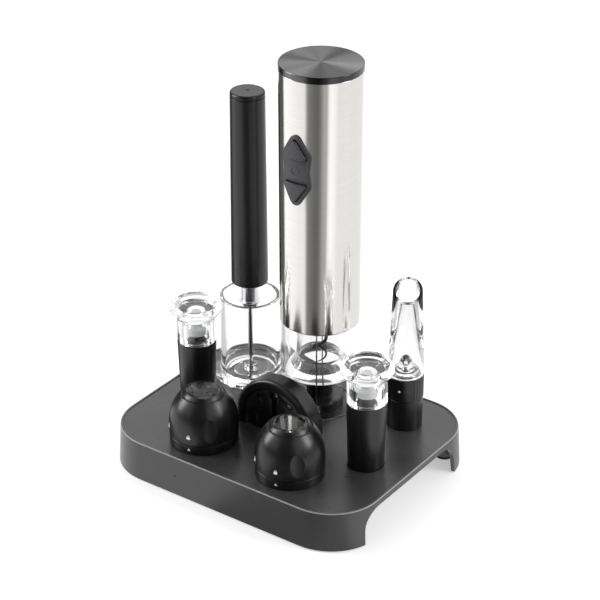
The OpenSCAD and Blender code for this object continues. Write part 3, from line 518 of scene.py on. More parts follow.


def metal(name, colour, rough, along=200, across=900, depth=0.004 * MM):
    """Plain bright metal with faint drawing marks."""
    material, tree, shader = new_material(name, Metallic=1.0)
    lines = use(tree, brushed_lines(), Along=along, Across=across)
    darker = [c * 0.86 for c in colour]
    tree.links.new(tint(tree, lines.outputs["Shade"], colour, darker), shader.inputs["Base Color"])
    tree.links.new(spread(tree, lines.outputs["Shade"], rough * 0.8, rough * 1.25),
                   shader.inputs["Roughness"])
    bump(tree, shader, lines.outputs["Height"], depth, 0.4)
    return material


def brushed_steel(name):
    """Steel brushed round the casing, so that its highlights run up and down it."""
    colours = bpy.context.scene.wine_set_colours
    material, tree, shader = new_material(name, Metallic=1.0, Anisotropic=0.85, Anisotropic_Rotation=0.25)
    tangent = add(tree, "ShaderNodeTangent", direction_type="RADIAL", axis="Z")
    tree.links.new(tangent.outputs[0], shader.inputs["Tangent"])
    lines = use(tree, brushed_lines(), Along=60, Across=2600)
    steel = list(colours.steel)
    pale = [min(1, c * 1.12) for c in steel]
    tree.links.new(tint(tree, lines.outputs["Shade"], [c * 0.9 for c in steel], pale),
                   shader.inputs["Base Color"])
    tree.links.new(spread(tree, lines.outputs["Shade"], 0.12, 0.16), shader.inputs["Roughness"])
    bump(tree, shader, lines.outputs["Height"], 0.012 * MM, 0.6)
    return material


def spun_cap(name):
    """Gloss black with turning marks on its top, and paler sectors painted in as its highlight."""
    where = centre_of("top_cap")
    material, tree, shader = new_material(name, Anisotropic=0.9, Anisotropic_Rotation=0.25, Metallic=1.0)
    tangent = add(tree, "ShaderNodeTangent", direction_type="RADIAL", axis="Z")
    tree.links.new(tangent.outputs[0], shader.inputs["Tangent"])
    rings = use(tree, spun_rings_and_sheen(), Centre_X=where.x, Centre_Y=where.y, Pitch=0.32 * MM)
    # Painted highlight: the base colour runs paler in sectors round the cap's top
    tree.links.new(tint(tree, rings.outputs["PaintedSheen"], (0.03, 0.03, 0.032), (0.17, 0.17, 0.175)),
                   shader.inputs["Base Color"])
    tree.links.new(spread(tree, rings.outputs["Shade"], 0.2, 0.28), shader.inputs["Roughness"])
    bump(tree, shader, rings.outputs["Height"], 0.03 * MM, 0.5)
    return material


def clear(name, colour=(1.0, 1.0, 1.0), rough=0.0, ior=1.46, wear=0.015):
    """Polished clear plastic with the faint haze of handling."""
    material, tree, shader = new_material(name, Transmission_Weight=1.0, IOR=ior)
    haze = use(tree, moulded_grain(), Scale=300, Patches=25)
    tree.links.new(tint(tree, haze.outputs["Shade"], colour, [c * 0.985 for c in colour]),
                   shader.inputs["Base Color"])
    tree.links.new(spread(tree, haze.outputs["Shade"], rough, rough + wear), shader.inputs["Roughness"])
    return material


def shrink_wrap(name):
    """Printed sleeve in green, with a fine grain."""
    material, tree, shader = new_material(name, Coat_Weight=0.4)
    texture = use(tree, moulded_grain(), Scale=700, Patches=120)
    tree.links.new(tint(tree, texture.outputs["Shade"], (0.05, 0.3, 0.17), (0.09, 0.4, 0.24)),
                   shader.inputs["Base Color"])
    tree.links.new(spread(tree, texture.outputs["Shade"], 0.25, 0.4), shader.inputs["Roughness"])
    bump(tree, shader, texture.outputs["Height"], 0.03 * MM)
    return material


def board_finish(name):
    """Green board with paler copper tracks under its mask."""
    material, tree, shader = new_material(name, Coat_Weight=0.3)
    cells = add(tree, "ShaderNodeTexBrick", Scale=160.0, Mortar_Size=0.03)
    cells.inputs["Color1"].default_value = (0.02, 0.16, 0.07, 1)
    cells.inputs["Color2"].default_value = (0.025, 0.19, 0.085, 1)
    cells.inputs["Mortar"].default_value = (0.1, 0.34, 0.16, 1)
    tree.links.new(add(tree, "ShaderNodeTexCoord").outputs["Object"], cells.inputs["Vector"])
    tree.links.new(cells.outputs["Color"], shader.inputs["Base Color"])
    texture = use(tree, moulded_grain(), Scale=1500, Patches=200)
    tree.links.new(spread(tree, texture.outputs["Shade"], 0.3, 0.45), shader.inputs["Roughness"])
    bump(tree, shader, cells.outputs["Fac"], 0.03 * MM)
    return material


def finish_named(name):
    """A material by the name of its slot, made the first time it is asked for."""
    found = bpy.data.materials.get(name + "_finish")
    if found:
        return found
    c = bpy.context.scene.wine_set_colours
    makers = {
        "stand_plastic": lambda: stand_plastic(name, c.stand),
        "satin_black": lambda: moulded(name, c.satin, 0.3, 2600, 0.012 * MM, dust=0.02, shine=0.55),
        "panel_black": lambda: moulded(name, c.panel, 0.46, 3200, 0.014 * MM, dust=0.04),
        "button_black": lambda: moulded(name, c.panel, 0.4, 3200, 0.012 * MM, dust=0.04),
        "gloss_black": lambda: moulded(name, (0.008, 0.008, 0.009), 0.12, 900, 0.003 * MM, dust=0.02),
        "foot_rubber": lambda: moulded(name, (0.015, 0.015, 0.015), 0.75, 1600, 0.05 * MM),
        "seal_rubber": lambda: moulded(name, (0.018, 0.018, 0.019), 0.5, 1800, 0.02 * MM, dust=0.03),
        "pale_silicone": lambda: moulded(name, (0.72, 0.73, 0.74), 0.35, 1500, 0.01 * MM, dust=0.0, wear=0.0),
        "frame_plastic": lambda: moulded(name, (0.06, 0.06, 0.062), 0.5),
        "gear_plastic": lambda: moulded(name, (0.78, 0.77, 0.72), 0.42, 1400, 0.01 * MM, dust=0.02),
        "coated_screw": lambda: moulded(name, (0.008, 0.008, 0.009), 0.22, 1200, 0.008 * MM, coat=0.3),
        "light_lens": lambda: moulded(name, (0.02, 0.02, 0.025), 0.2, 1200, 0.004 * MM),
        "white_print": lambda: moulded(name, (0.85, 0.85, 0.85), 0.5, 3000, 0.004 * MM, wear=0.0),
        "bright_steel": lambda: metal(name, (0.75, 0.75, 0.77), 0.16),
        "contact_metal": lambda: metal(name, (0.78, 0.76, 0.72), 0.24, 600, 1200),
        "brass": lambda: metal(name, (0.72, 0.55, 0.27), 0.25, 900, 900),
        "brushed_steel": lambda: brushed_steel(name),
        "cap_black": lambda: spun_cap(name),
        "clear_plastic": lambda: clear(name),
        "smoked_lens": lambda: clear(name, (0.12, 0.12, 0.125), 0.01),
        "battery_wrap": lambda: shrink_wrap(name),
        "circuit_board": lambda: board_finish(name),
    }
    material = makers[name]()
    material.name = name + "_finish"
    return material


def refinish(*nodes):
    """CAD nodes that keep their shape get the material of their own slot."""
    slots = {row["node"]: row["material_slot"] for row in frame["record"]["subparts"]}
    for node in nodes:
        obj = frame["nodes"][node]
        obj.data.materials.clear()
        obj.data.materials.append(finish_named(slots[node]))


# ---- Settings --------------------------------------------------------------------

class WineSetSizes(bpy.types.PropertyGroup):
    """Sizes that shape the finished surfaces."""
    stand_width: bpy.props.FloatProperty(
        name="Stand width", description="Width of the stand at the floor", default=181.4 * MM, unit="LENGTH")
    stand_depth: bpy.props.FloatProperty(
        name="Stand depth", description="Depth of the stand at the floor", default=144.4 * MM, unit="LENGTH")
    corner: bpy.props.FloatProperty(
        name="Corner radius", description="Corner radius of the stand", default=32.8 * MM, unit="LENGTH")
    lean: bpy.props.FloatProperty(
        name="Wall lean", description="Lean of the stand's walls over its height", default=1.5 * MM,
        unit="LENGTH")
    rim_round: bpy.props.FloatProperty(
        name="Rim rounding", description="Rounding of the stand's rim", default=0.6 * MM, unit="LENGTH")
    edge: bpy.props.FloatProperty(
        name="Edge rounding", description="Rounding of cut edges", default=0.35 * MM, unit="LENGTH")
    ribs: bpy.props.IntProperty(
        name="Dial ribs", description="Grip ribs round the pourer's dial", default=36, min=12, max=60)
    camera_length: bpy.props.FloatProperty(
        name="Lens", description="Focal length of the camera in millimetres", default=122.84)


class WineSetColours(bpy.types.PropertyGroup):
    """Colours of the main finishes."""
    stand: bpy.props.FloatVectorProperty(
        name="Stand", description="Plastic of the stand", subtype="COLOR", default=(0.044, 0.044, 0.0455))
    satin: bpy.props.FloatVectorProperty(
        name="Accessories", description="Satin plastic of the accessories", subtype="COLOR",
        default=(0.006, 0.006, 0.0065))
    panel: bpy.props.FloatVectorProperty(
        name="Button panel", description="Plastic of the button panel", subtype="COLOR",
        default=(0.05, 0.05, 0.055))
    steel: bpy.props.FloatVectorProperty(
        name="Steel", description="Brushed steel of the casing", subtype="COLOR", default=(0.80, 0.79, 0.765))


# ---- Stand ------------------------------------------------------------------------

def stand_ring(inset, z, steps=14):
    """The stand's outline, inset by a distance, at a height."""
    size = bpy.context.scene.wine_set_sizes
    r = size.corner - inset
    x = size.stand_width / 2 - size.corner
    y = size.stand_depth / 2 - size.corner
    points = []
    for k, (sx, sy) in enumerate(((1, 1), (-1, 1), (-1, -1), (1, -1))):
        for i in range(steps + 1):
            a = math.radians(90 * k + 90 * i / steps)
            points.append((sx * x + r * math.cos(a), sy * y + r * math.sin(a), z))
    return points


def stand_solid():
    size = bpy.context.scene.wine_set_sizes
    foot, top, deck = low_of("stand_shell").z, STAND_TOP, DECK
    wall, under = 2.6 * MM, DECK - 2.6 * MM
    rim, inset = 1.4 * MM, 0.08 * MM
    lean = size.lean
    profile = rounded(
        [(0.4 * MM, foot), (inset, foot + 0.3 * MM), (lean, top), (lean + rim, top), (lean + rim, deck)],
        [0, 0, size.rim_round, 0.35 * MM, 0], steps=4, support=0.2 * MM)
    profile.append(Vector((lean + rim + 3 * MM, deck)))
    inside = rounded([(wall + lean * 0.9, under), (wall, foot)], [0, 0])
    rings = [stand_ring(p.x, p.y) for p in inside + profile]
    return loft(rings)


class WINESET_OT_stand(bpy.types.Operator):
    """Builds the charging stand's shell, feet, post, contacts and light"""
    bl_idname = "wine_set.stand"
    bl_label = "Stand"

    def execute(self, context):
        bm = stand_solid()
        bm = combine(bm, stand_under_parts(), "UNION")
        bm = combine(bm, stand_cuts())
        piece("stand_body", bm, "stand_plastic", "stand", ["stand_shell"], sharp=32, even=True)
        build_feet()
        build_post()
        refinish("stand_base_cover", "stand_screws", "stand_circuit_board", "power_socket", "status_light")
        return {"FINISHED"}


STAND_TOP = 25.3 * MM
DECK = STAND_TOP - 0.5 * MM
REST = DECK + 0.05 * MM


def stand_under_parts():
    """Cups, posts and the electronics pod under the deck."""
    under = DECK - 2.6 * MM
    floor_at, wall = 7 * MM, 1.8 * MM
    parts = []
    for node in ("stopper_plug_1", "stopper_plug_2", "pourer_body", "pump_needle"):
        radius = WELLS[node] * MM + wall
        parts.append(rod(radius, floor_at - wall, under + 0.6 * MM, centre_of(node)))
    low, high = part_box("stand_base_cover")
    parts.append(block((low.x, low.y, 9 * MM), (high.x, high.y, under + 0.6 * MM)))
    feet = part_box("stand_feet")
    for x in (feet[0].x + 5.6 * MM, feet[1].x - 5.6 * MM):
        for y in (feet[0].y + 5.6 * MM, feet[1].y - 5.6 * MM):
            parts.append(rod(5 * MM, 1.22 * MM, under + 0.6 * MM, Vector((x, y, 0))))
    for k in (1, 2):
        parts.append(rod(14.7 * MM, DECK - MM, DECK + 3.2 * MM, centre_of(f"sparkling_base_{k}")))
    return parts


WELLS = {"stopper_plug_1": 10.95, "stopper_plug_2": 10.95, "pourer_body": 10.4, "pump_needle": 2.1}


def stand_cuts():
    """Arches, wells, the pod's inside, the post's hole, the light and the power socket."""
    size = bpy.context.scene.wine_set_sizes
    half_w, half_d = size.stand_width / 2, size.stand_depth / 2
    front, back, top = 22.6 * MM - half_d, half_d - 28.6 * MM, STAND_TOP - 3.9 * MM
    arch = rounded(
        [(front - 0.3 * MM, -2 * MM), (front + 0.6 * MM, top), (back - 2.6 * MM, top),
         (back + 0.3 * MM, -2 * MM)],
        [0, 12 * MM, 12 * MM, 0], steps=10)
    cuts = [prism(arch, "X", s * half_w - 14 * MM, s * half_w + 6 * MM) for s in (-1, 1)]
    for node, radius in WELLS.items():
        cuts.append(rod(radius * MM, 7 * MM, 40 * MM, centre_of(node), 72))
    low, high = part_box("stand_base_cover")
    wall = 2 * MM
    cuts.append(block((low.x + wall, low.y + wall, 5 * MM), (high.x - wall, high.y - wall, DECK - 2.6 * MM)))
    cuts.append(rod(8.1 * MM, 15 * MM, 40 * MM, centre_of("charging_post"), 64))
    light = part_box("status_light")
    spot = [((light[0].x + light[1].x) / 2 + 0.85 * MM * math.cos(t),
             (light[0].z + light[1].z) / 2 + 0.85 * MM * math.sin(t))
            for t in (2 * math.pi * i / 24 for i in range(24))]
    cuts.append(prism(spot, "Y", -half_d - 2 * MM, -half_d + 5 * MM))
    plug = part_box("power_socket")
    gap = 0.1 * MM
    cuts.append(block((plug[0].x - gap, plug[0].y, plug[0].z - gap),
                      (plug[1].x + gap, half_d + 4 * MM, plug[1].z + gap)))
    return cuts


def build_feet():
    low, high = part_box("stand_feet")
    r = 5.6
    k = 0
    for x in (low.x + r * MM, high.x - r * MM):
        for y in (low.y + r * MM, high.y - r * MM):
            k += 1
            nodes = ["stand_feet"] if k == 1 else []
            turned(f"foot_{k}", [(0, 0), (r - 0.4, 0), (r, 1.2), (0, 1.2)], [0, 0.3, 0.2, 0],
                   Vector((x, y, 0)),
                   "foot_rubber", "stand", nodes, turns=48)


def build_post():
    """The charging post with its round foot, and the contacts in the foot."""
    z = DECK / MM
    centre = centre_of("charging_post")
    turned("post", [(0, z - 4.6), (8, z - 4.6), (8, z + 0.03), (14.5, z + 0.03), (14.5, z + 6.4),
                    (8, z + 6.4), (8, z + 17.2), (0, z + 17.2)],
           [0, 0.3, 0, 0.1, 0.9, 0.8, 1.0, 0], centre, "gloss_black", "stand", ["charging_post"])
    refinish("contact_pins")


# ---- Opener -----------------------------------------------------------------------

def panel_place():
    """The opener's axis, the casing's radius at the panel and the height of the panel's middle."""
    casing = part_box("steel_casing")
    return centre_of("steel_casing"), (casing[1].x - casing[0].x) / 2, centre_of("button_panel").z


def wrap(bm, radius, axis):
    """Flat geometry in X (across), Y (up) and Z (out) laid on the casing."""
    for v in bm.verts:
        across, up, out = v.co
        a = math.asin(max(-0.9, min(0.9, across / radius)))
        v.co = (axis.x + (radius + out) * math.sin(a), axis.y - (radius + out) * math.cos(a), axis.z + up)
    return bm


def slices(bm, low, high, step):
    """Cuts across X so that a flat piece can follow a curve."""
    x = low + step
    while x < high - step / 2:
        every = bm.verts[:] + bm.edges[:] + bm.faces[:]
        bmesh.ops.bisect_plane(bm, geom=every, plane_co=(x, 0, 0), plane_no=(1, 0, 0), dist=1e-7)
        x += step
    return bm


def pillow(outline, back, top, edge, steps=4):
    """A flat-backed plate with rounded front edges."""
    rings = [[(p.x, p.y, back) for p in outline], [(p.x, p.y, top - edge - 0.05 * MM) for p in outline]]
    for k in range(steps + 1):
        a = math.pi / 2 * k / steps
        moved = offset(outline, edge * (1 - math.cos(a)))
        rings.append([(p.x, p.y, top - edge + edge * math.sin(a)) for p in moved])
    moved = offset(outline, edge + 0.15 * MM)
    rings.append([(p.x, p.y, top) for p in moved])
    return loft(rings)


def panel_outline():
    w, h = 9.8, 23.65
    points = [(0, h + 1.6), (-w, 9.6), (1.2 - w, 0), (-w, -9.6), (0, -h - 1.6), (w, -9.6), (w - 1.2, 0),
              (w, 9.6)]
    return rounded(mm(points), [r * MM for r in (4, 3, 8, 3, 4, 3, 8, 3)], steps=6)


def button_outline(grow, side):
    """A rounded triangle that points up or down."""
    w, h = 7.7 + grow, 6.1 + grow
    points = [(-w, -h), (w, -h), (0, h + 0.8 * grow)]
    if side < 0:
        points = [(x, -y) for x, y in reversed(points)]
    outline = rounded(mm(points), [1.2 * MM, 1.2 * MM, 1.4 * MM]
                      if side > 0 else [1.4 * MM, 1.2 * MM, 1.2 * MM], steps=5)
    return outline


BUTTON_OFF = 13.7 * MM
PANEL_PROUD = 0.9 * MM
BUTTON_PROUD = 1.7 * MM


def build_panel():
    centre, radius, z = panel_place()
    axis = Vector((centre.x, centre.y, z))
    outline = panel_outline()
    bm = pillow(outline, -2.0 * MM, PANEL_PROUD, 0.5 * MM)
    cuts = []
    for side in (-1, 1):
        shape = [(p.x, p.y + side * BUTTON_OFF) for p in button_outline(0.5, side)]
        cuts.append(prism(shape, "Z", -3 * MM, 3 * MM))
    bm = combine(bm, cuts)
    bm = slices(bm, -10.2 * MM, 10.2 * MM, 0.75 * MM)
    piece("button_surround", wrap(bm, radius, axis), "panel_black", "opener", ["button_panel"],
          bevel=0.12 * MM, angle=60)
    build_panel_mark(axis, radius)
    for side, name in ((1, "up_button"), (-1, "down_button")):
        top = PANEL_PROUD + BUTTON_PROUD
        moved = [Vector((p.x, p.y + side * BUTTON_OFF)) for p in button_outline(0, side)]
        bm = pillow(moved, -1.4 * MM, top, 0.5 * MM)
        bm = slices(bm, -7.7 * MM, 7.7 * MM, 0.75 * MM)
        piece(f"{name}_key", wrap(bm, radius, axis), "button_black", name, [name])


def build_panel_mark(axis, radius):
    """A raised ring between the buttons."""
    turns = [2 * math.pi * i / 48 for i in range(48)]
    path = [(2.5 * MM * math.cos(t), 2.5 * MM * math.sin(t)) for t in turns]
    bm = bmesh.new()
    rings = []
    for x, y in path:
        unit_x, unit_y = x / (2.5 * MM), y / (2.5 * MM)
        ring = []
        for s, t in ((-0.3, -0.3), (-0.2, 0.12), (0.0, 0.2), (0.2, 0.12), (0.3, -0.3)):
            ring.append(bm.verts.new((x + unit_x * s * MM, y + unit_y * s * MM, PANEL_PROUD + t * MM)))
        rings.append(ring)
    for a, b in zip(rings, rings[1:] + rings[:1]):
        bridge(bm, a, b)
    piece("panel_ring", wrap(bm, radius, axis), "button_black", "opener", slot="panel_black")


class WINESET_OT_opener(bpy.types.Operator):
    """Builds the opener's casing, cap, button panel and buttons"""
    bl_idname = "wine_set.opener"
    bl_label = "Opener"

    def execute(self, context):
        low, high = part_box("steel_casing")
        centre = centre_of("steel_casing")
        top_r = (high.x - low.x) / 2 / MM
        z0, z1 = low.z / MM, high.z / MM
        _, _, mid = panel_place()
        p = mid / MM
        outer = [(top_r - 0.45, z0), (top_r - 0.3, p - 27), (top_r - 0.15, p + 27), (top_r, z1)]
        profile = rounded(mm(outer + [(top_r - 1.25, z1), (top_r - 1.25, z0)]),
                          [0.35 * MM, 0, 0, 0.2 * MM, 0, 0.1 * MM],
                          steps=4, support=0.15 * MM)
        hole = offset(panel_outline(), 1.2 * MM)
        cut = prism([(q.x, q.y + mid) for q in hole], "Y", centre.y - 40 * MM, centre.y)
        bm = combine(lathe(profile, centre, 192), [cut])
        piece("steel_sleeve", bm, "brushed_steel", "opener", ["steel_casing"], sharp=30)
        c = high_of("top_cap").z / MM
        turned("cap", [(0, c - 5), (top_r - 1.3, c - 5), (top_r - 1.3, z1 + 0.02), (top_r, z1 + 0.02),
                       (top_r, c), (0, c)],
               [0, 0.2, 0, 0.15, 0.45, 0], centre, "cap_black", "opener", ["top_cap"], turns=192)
        build_panel()
        refinish("inner_frame", "battery_cells", "control_board", "drive_motor", "ring_gear_housing",
                 "motor_pinion",
                 "planet_carrier", "planet_gear_1", "planet_gear_2", "planet_gear_3", "charging_terminals")
        return {"FINISHED"}


class WINESET_OT_clear_barrel(bpy.types.Operator):
    """Builds the opener's clear barrel, the bottle guide in it and the spiral screw"""
    bl_idname = "wine_set.clear_barrel"
    bl_label = "Clear barrel"

    def execute(self, context):
        centre = centre_of("clear_barrel")
        z, top = REST / MM, low_of("steel_casing").z / MM
        bore = 21.1
        turned("barrel", [(bore, z), (23.3, z), (23.85, top - 0.05), (23.1, top - 0.05), (23.1, top + 11),
                          (bore, top + 11)],
               [0.5, 0.5, 0.2, 0, 0.3, 0.3], centre, "clear_plastic", "opener", ["clear_barrel"])
        g, up = low_of("bottle_guide").z / MM, high_of("bottle_guide").z / MM
        turned("guide", [(21.0, g), (21.0, g + 2), (15.1, g + 10.2), (14.1, g + 12), (14.1, up), (12.5, up),
                         (12.5, g + 10), (15.1, g + 4)],
               [0.3, 0.5, 2.0, 1.0, 0.3, 0.3, 2.0, 1.0], centre, "clear_plastic", "opener", ["bottle_guide"])
        build_screw(centre)
        return {"FINISHED"}


def build_screw(centre):
    """A round wire wound into a helix, drawn thinner to a point at its tip."""
    low, high = low_of("spiral_screw").z, high_of("spiral_screw").z
    pitch, coil, wire, sides, steps = 11.5 * MM, 3.9 * MM, 1.05 * MM, 12, 32
    turns = (high - low - wire) / pitch
    rings = []
    count = int(turns * steps)
    for i in range(count + 1):
        a = 2 * math.pi * i / steps - math.radians(75)
        point = 0.3 + 0.7 * min(1, i / (0.7 * steps))
        r = coil * min(1, 1.6 * (count - i) / steps + 0.02)
        z = low + wire * 0.4 + pitch * i / steps
        out = Vector((math.cos(a), math.sin(a), 0))
        ring = []
        for j in range(sides):
            b = 2 * math.pi * j / sides
            across, up = wire * point * math.cos(b), wire * point * math.sin(b)
            ring.append(Vector((centre.x, centre.y, z)) + out * (r + across) + Vector((0, 0, up)))
        rings.append(ring)
    piece("screw_wire", loft(rings), "coated_screw", "screw_carrier", ["spiral_screw"])


# ---- Air pump ---------------------------------------------------------------------

class WINESET_OT_air_pump(bpy.types.Operator):
    """Builds the air pump and its clear needle guard"""
    bl_idname = "wine_set.air_pump"
    bl_label = "Air pump"

    def execute(self, context):
        centre = centre_of("pump_handle")
        z = REST / MM
        low, top = low_of("pump_handle").z / MM, high_of("pump_cap").z / MM
        bore = 8.4
        turned("handle_tube", [(3.55, low), (11.3, low), (10.44, top - 3.0), (bore, top - 3.0),
                               (bore, low + 3.4), (3.55, low + 3.4)],
               [0.2, 0.6, 0.35, 0.1, 0, 0], centre, "satin_black", "handle", ["pump_handle"])
        turned("handle_cap", [(0, top - 9.8), (8.35, top - 9.8), (8.35, top - 2.7), (10.4, top - 2.7),
                              (10.4, top), (1.6, top), (0, top - 0.6)],
               [0, 0.2, 0, 0.35, 2.0, 0.6, 0], centre, "satin_black", "handle", ["pump_cap"])
        n = low_of("pump_neck").z / MM
        turned("neck", [(1.5, n), (4.7, n), (6.9, n + 4.2), (5.3, n + 4.2), (5.3, low - 0.1),
                        (0, low - 0.1), (0, n + 10), (1.5, n + 10)],
               [0, 0.5, 0.4, 0.3, 0.3, 0, 0, 0], centre, "bright_steel", "pump", ["pump_neck"], turns=72)
        tip = low_of("pump_needle").z / MM
        turned("needle", [(0, tip), (0.5, tip), (1.5, tip + 5), (1.5, n + 9.9), (0, n + 9.9)],
               [0, 0.1, 0.8, 0, 0], centre, "bright_steel", "pump", ["pump_needle"], turns=32)
        refinish("piston_rod", "piston_seal")
        self.build_guard(centre, z)
        return {"FINISHED"}

    @staticmethod
    def build_guard(centre, z):
        h = high_of("needle_guard").z / MM - z
        points = [(1.7, z), (22.5, z), (22.5, z + 4.4), (19.2, z + 5.6), (18.6, z + 8), (18.55, z + h),
                  (16.1, z + h), (16.1, z + 2.4),
                  (10.4, z + 2.4), (10.4, z + 3.3), (4.1, z + 3.3), (4.1, z + 7.2), (1.7, z + 7.2)]
        radii = [0.2, 0.5, 0.9, 0.9, 2.0, 0.8, 0.8, 1.2, 0.2, 0.3, 0.6, 0.4, 0.3]
        profile = rounded(mm(points), [r * MM for r in radii], steps=4, support=0.15 * MM)
        cuts = []
        for start in (36, 216):
            arc = [math.radians(start + 84 * i / 16) for i in range(17)]
            outer = [(centre.x + 14.4 * MM * math.sin(a), centre.y - 14.4 * MM * math.cos(a)) for a in arc]
            inner = [(centre.x + 10.8 * MM * math.sin(a), centre.y - 10.8 * MM * math.cos(a))
                     for a in reversed(arc)]
            cuts.append(prism(outer + inner, "Z", (z - 2) * MM, (z + 6) * MM))
        bm = combine(lathe(profile, centre), cuts)
        piece("guard_cup", bm, "clear_plastic", "guard", ["needle_guard"], sharp=30)


# ---- Bottle stoppers --------------------------------------------------------------

class WINESET_OT_bottle_stoppers(bpy.types.Operator):
    """Builds the two bottle stoppers"""
    bl_idname = "wine_set.bottle_stoppers"
    bl_label = "Bottle stoppers"

    def execute(self, context):
        for k in (1, 2):
            self.build(k, centre_of(f"stopper_plug_{k}"), f"stopper_{k}")
        return {"FINISHED"}

    @staticmethod
    def build(k, centre, body):
        low, top = low_of(f"stopper_plug_{k}").z / MM, high_of(f"stopper_plug_{k}").z / MM
        turned(f"plug_{k}", [(4.5, low), (9.1, low), (10.13, low + 1), (11.85, top), (9.05, top),
                             (9.05, top - 6), (4.5, top - 6)],
               [0.3, 0.5, 0.5, 0.35, 0.2, 0, 0], centre, "satin_black", body, [f"stopper_plug_{k}"])
        h = high_of(f"stopper_head_{k}").z / MM - top
        points = [(0, top + 16.2), (5.4, top + 16.2), (6.4, top + 9), (6.4, top + 0.05),
                  (11.75, top + 0.05), (11.75, top + 14), (12.4, top + 16.2),
                  (15.6, top + h - 5), (15.6, top + h - 2.8), (13.4, top + h), (10.4, top + h - 3.1),
                  (0, top + h - 2.7)]
        radii = [0, 1.0, 1.0, 0.2, 0.35, 1.5, 1.5, 1.6, 1.2, 0.5, 0.5, 0]
        profile = rounded(mm(points), [r * MM for r in radii], steps=5, support=0.15 * MM)
        bm = lathe([(max(p.x, 0), p.y) for p in profile], centre)
        turn = math.radians(-12)
        ball = bmesh.new()
        bmesh.ops.create_uvsphere(ball, u_segments=64, v_segments=32, radius=7.5 * MM)
        out = 17.5 * MM
        place = Vector((centre.x + out * math.sin(turn), centre.y - out * math.cos(turn),
                        (top + h + 2.0) * MM))
        bmesh.ops.translate(ball, verts=ball.verts, vec=place)
        piece(f"head_{k}", combine(bm, [ball]), "clear_plastic", body, [f"stopper_head_{k}"], sharp=28)
        turned(f"valve_{k}", [(0, top - 5.9), (8.9, top - 5.9), (8.9, top - 0.1), (4.4, top - 0.1),
                              (4.4, top + 4.6), (0, top + 4.6)],
               [0, 0.4, 0.4, 0.3, 0.6, 0], centre, "seal_rubber", body, [f"stopper_valve_{k}"], turns=72)
        turned(f"valve_stem_{k}", [(0, top + 4.62), (5.4, top + 4.62), (5.4, top + 8.8), (3, top + 11.8),
                                   (3, top + 15.6), (0, top + 15.6)],
               [0, 0.3, 0.8, 0.5, 0.6, 0], centre, "pale_silicone", body, turns=72, slot="clear_plastic")


# ---- Pourer -----------------------------------------------------------------------

class WINESET_OT_pourer(bpy.types.Operator):
    """Builds the pourer with its ribbed dial and clear spout"""
    bl_idname = "wine_set.pourer"
    bl_label = "Pourer"

    def execute(self, context):
        centre = centre_of("pourer_dial")
        low, dial = low_of("pourer_body").z / MM, low_of("pourer_dial").z / MM
        z, spout = REST / MM, low_of("pourer_spout").z / MM
        turned("pourer_stem", [(4, low), (8.6, low), (10, low + 4), (10, z + 0.05), (10.7, z + 0.05),
                               (10.7, dial - 0.3), (7.6, dial - 0.3), (7.6, spout + 0.4), (4, spout + 0.4)],
               [0.3, 0.6, 1.0, 0, 0.4, 0.4, 0, 0.3, 0.3], centre, "satin_black", "pourer", ["pourer_body"])
        self.build_dial(centre, dial, spout - 0.3 - dial)
        self.build_spout(centre, spout)
        turned("jet", [(1.6, spout + 1.15), (7.4, spout + 1.15), (7.4, spout + 2.75), (5.3, spout + 2.75),
                       (4.7, spout + 6.2), (3.2, spout + 9.2), (1.6, spout + 10.3)],
               [0.1, 0.2, 0.3, 0.3, 1.2, 1.5, 0.2], centre, "clear_plastic", "pourer", ["pourer_jet"],
               turns=72)
        return {"FINISHED"}

    @staticmethod
    def build_dial(centre, z, h):
        ribs = bpy.context.scene.wine_set_sizes.ribs

        def ribbed(r, a, height):
            middle = math.radians(20)
            away = abs((a - middle + math.pi) % (2 * math.pi) - math.pi)
            lift = (height / MM - z) / h
            if r < 10.6 * MM or away < math.radians(40) or not 0.08 < lift < 0.92:
                return r, height
            return r - 0.28 * MM * (0.5 + 0.5 * math.cos(a * ribs)), height

        points = [(7.65, z), (11, z), (11, z + 0.09 * h), (11, z + 0.1 * h), (11, z + 0.9 * h),
                  (11, z + 0.91 * h), (11, z + h), (7.65, z + h)]
        turned("air_dial", points, [0, 0.3, 0, 0, 0, 0, 0.3, 0], centre, "satin_black", "dial",
               ["pourer_dial"], turns=ribs * 10, shape=ribbed)
        for k, turn in enumerate((14, 30, 38, 46)):
            r = 0.75 if k == 0 else 0.28
            tall = 0.75 if k == 0 else 0.9 + 0.35 * k
            mark = [(r * math.cos(t), tall * math.sin(t)) for t in (2 * math.pi * i / 20 for i in range(20))]
            decal(f"dial_mark_{k + 1}", mark, centre, turn, (z + h * 0.5) * MM, lambda height: 11 * MM,
                  "dial", k == 0)

    @staticmethod
    def build_spout(centre, z):
        top = high_of("pourer_spout").z / MM
        points = [(7.7, z), (11, z), (8.5, top + 0.3), (6.8, top + 0.3), (9.3, z + 1.2), (7.7, z + 1.2)]
        profile = rounded(mm(points), [r * MM for r in (0.2, 0.4, 0, 0, 0.2, 0)], steps=4, support=0.15 * MM)
        bm = lathe(profile, centre, 96)
        turn = math.radians(30 - 90)
        tilt = math.radians(28)
        out = Vector((math.cos(turn), math.sin(turn), 0))
        normal = (out * math.sin(tilt) + Vector((0, 0, math.cos(tilt)))).normalized()
        at = Vector((centre.x, centre.y, top * MM)) - out * 8.5 * MM
        every = bm.verts[:] + bm.edges[:] + bm.faces[:]
        cut = bmesh.ops.bisect_plane(bm, geom=every, plane_co=at, plane_no=normal, clear_outer=True)
        edges = [g for g in cut["geom_cut"] if isinstance(g, bmesh.types.BMEdge)]
        bmesh.ops.bridge_loops(bm, edges=edges)
        piece("spout", bm, "clear_plastic", "pourer", ["pourer_spout"], sharp=30, bevel=0.35 * MM)


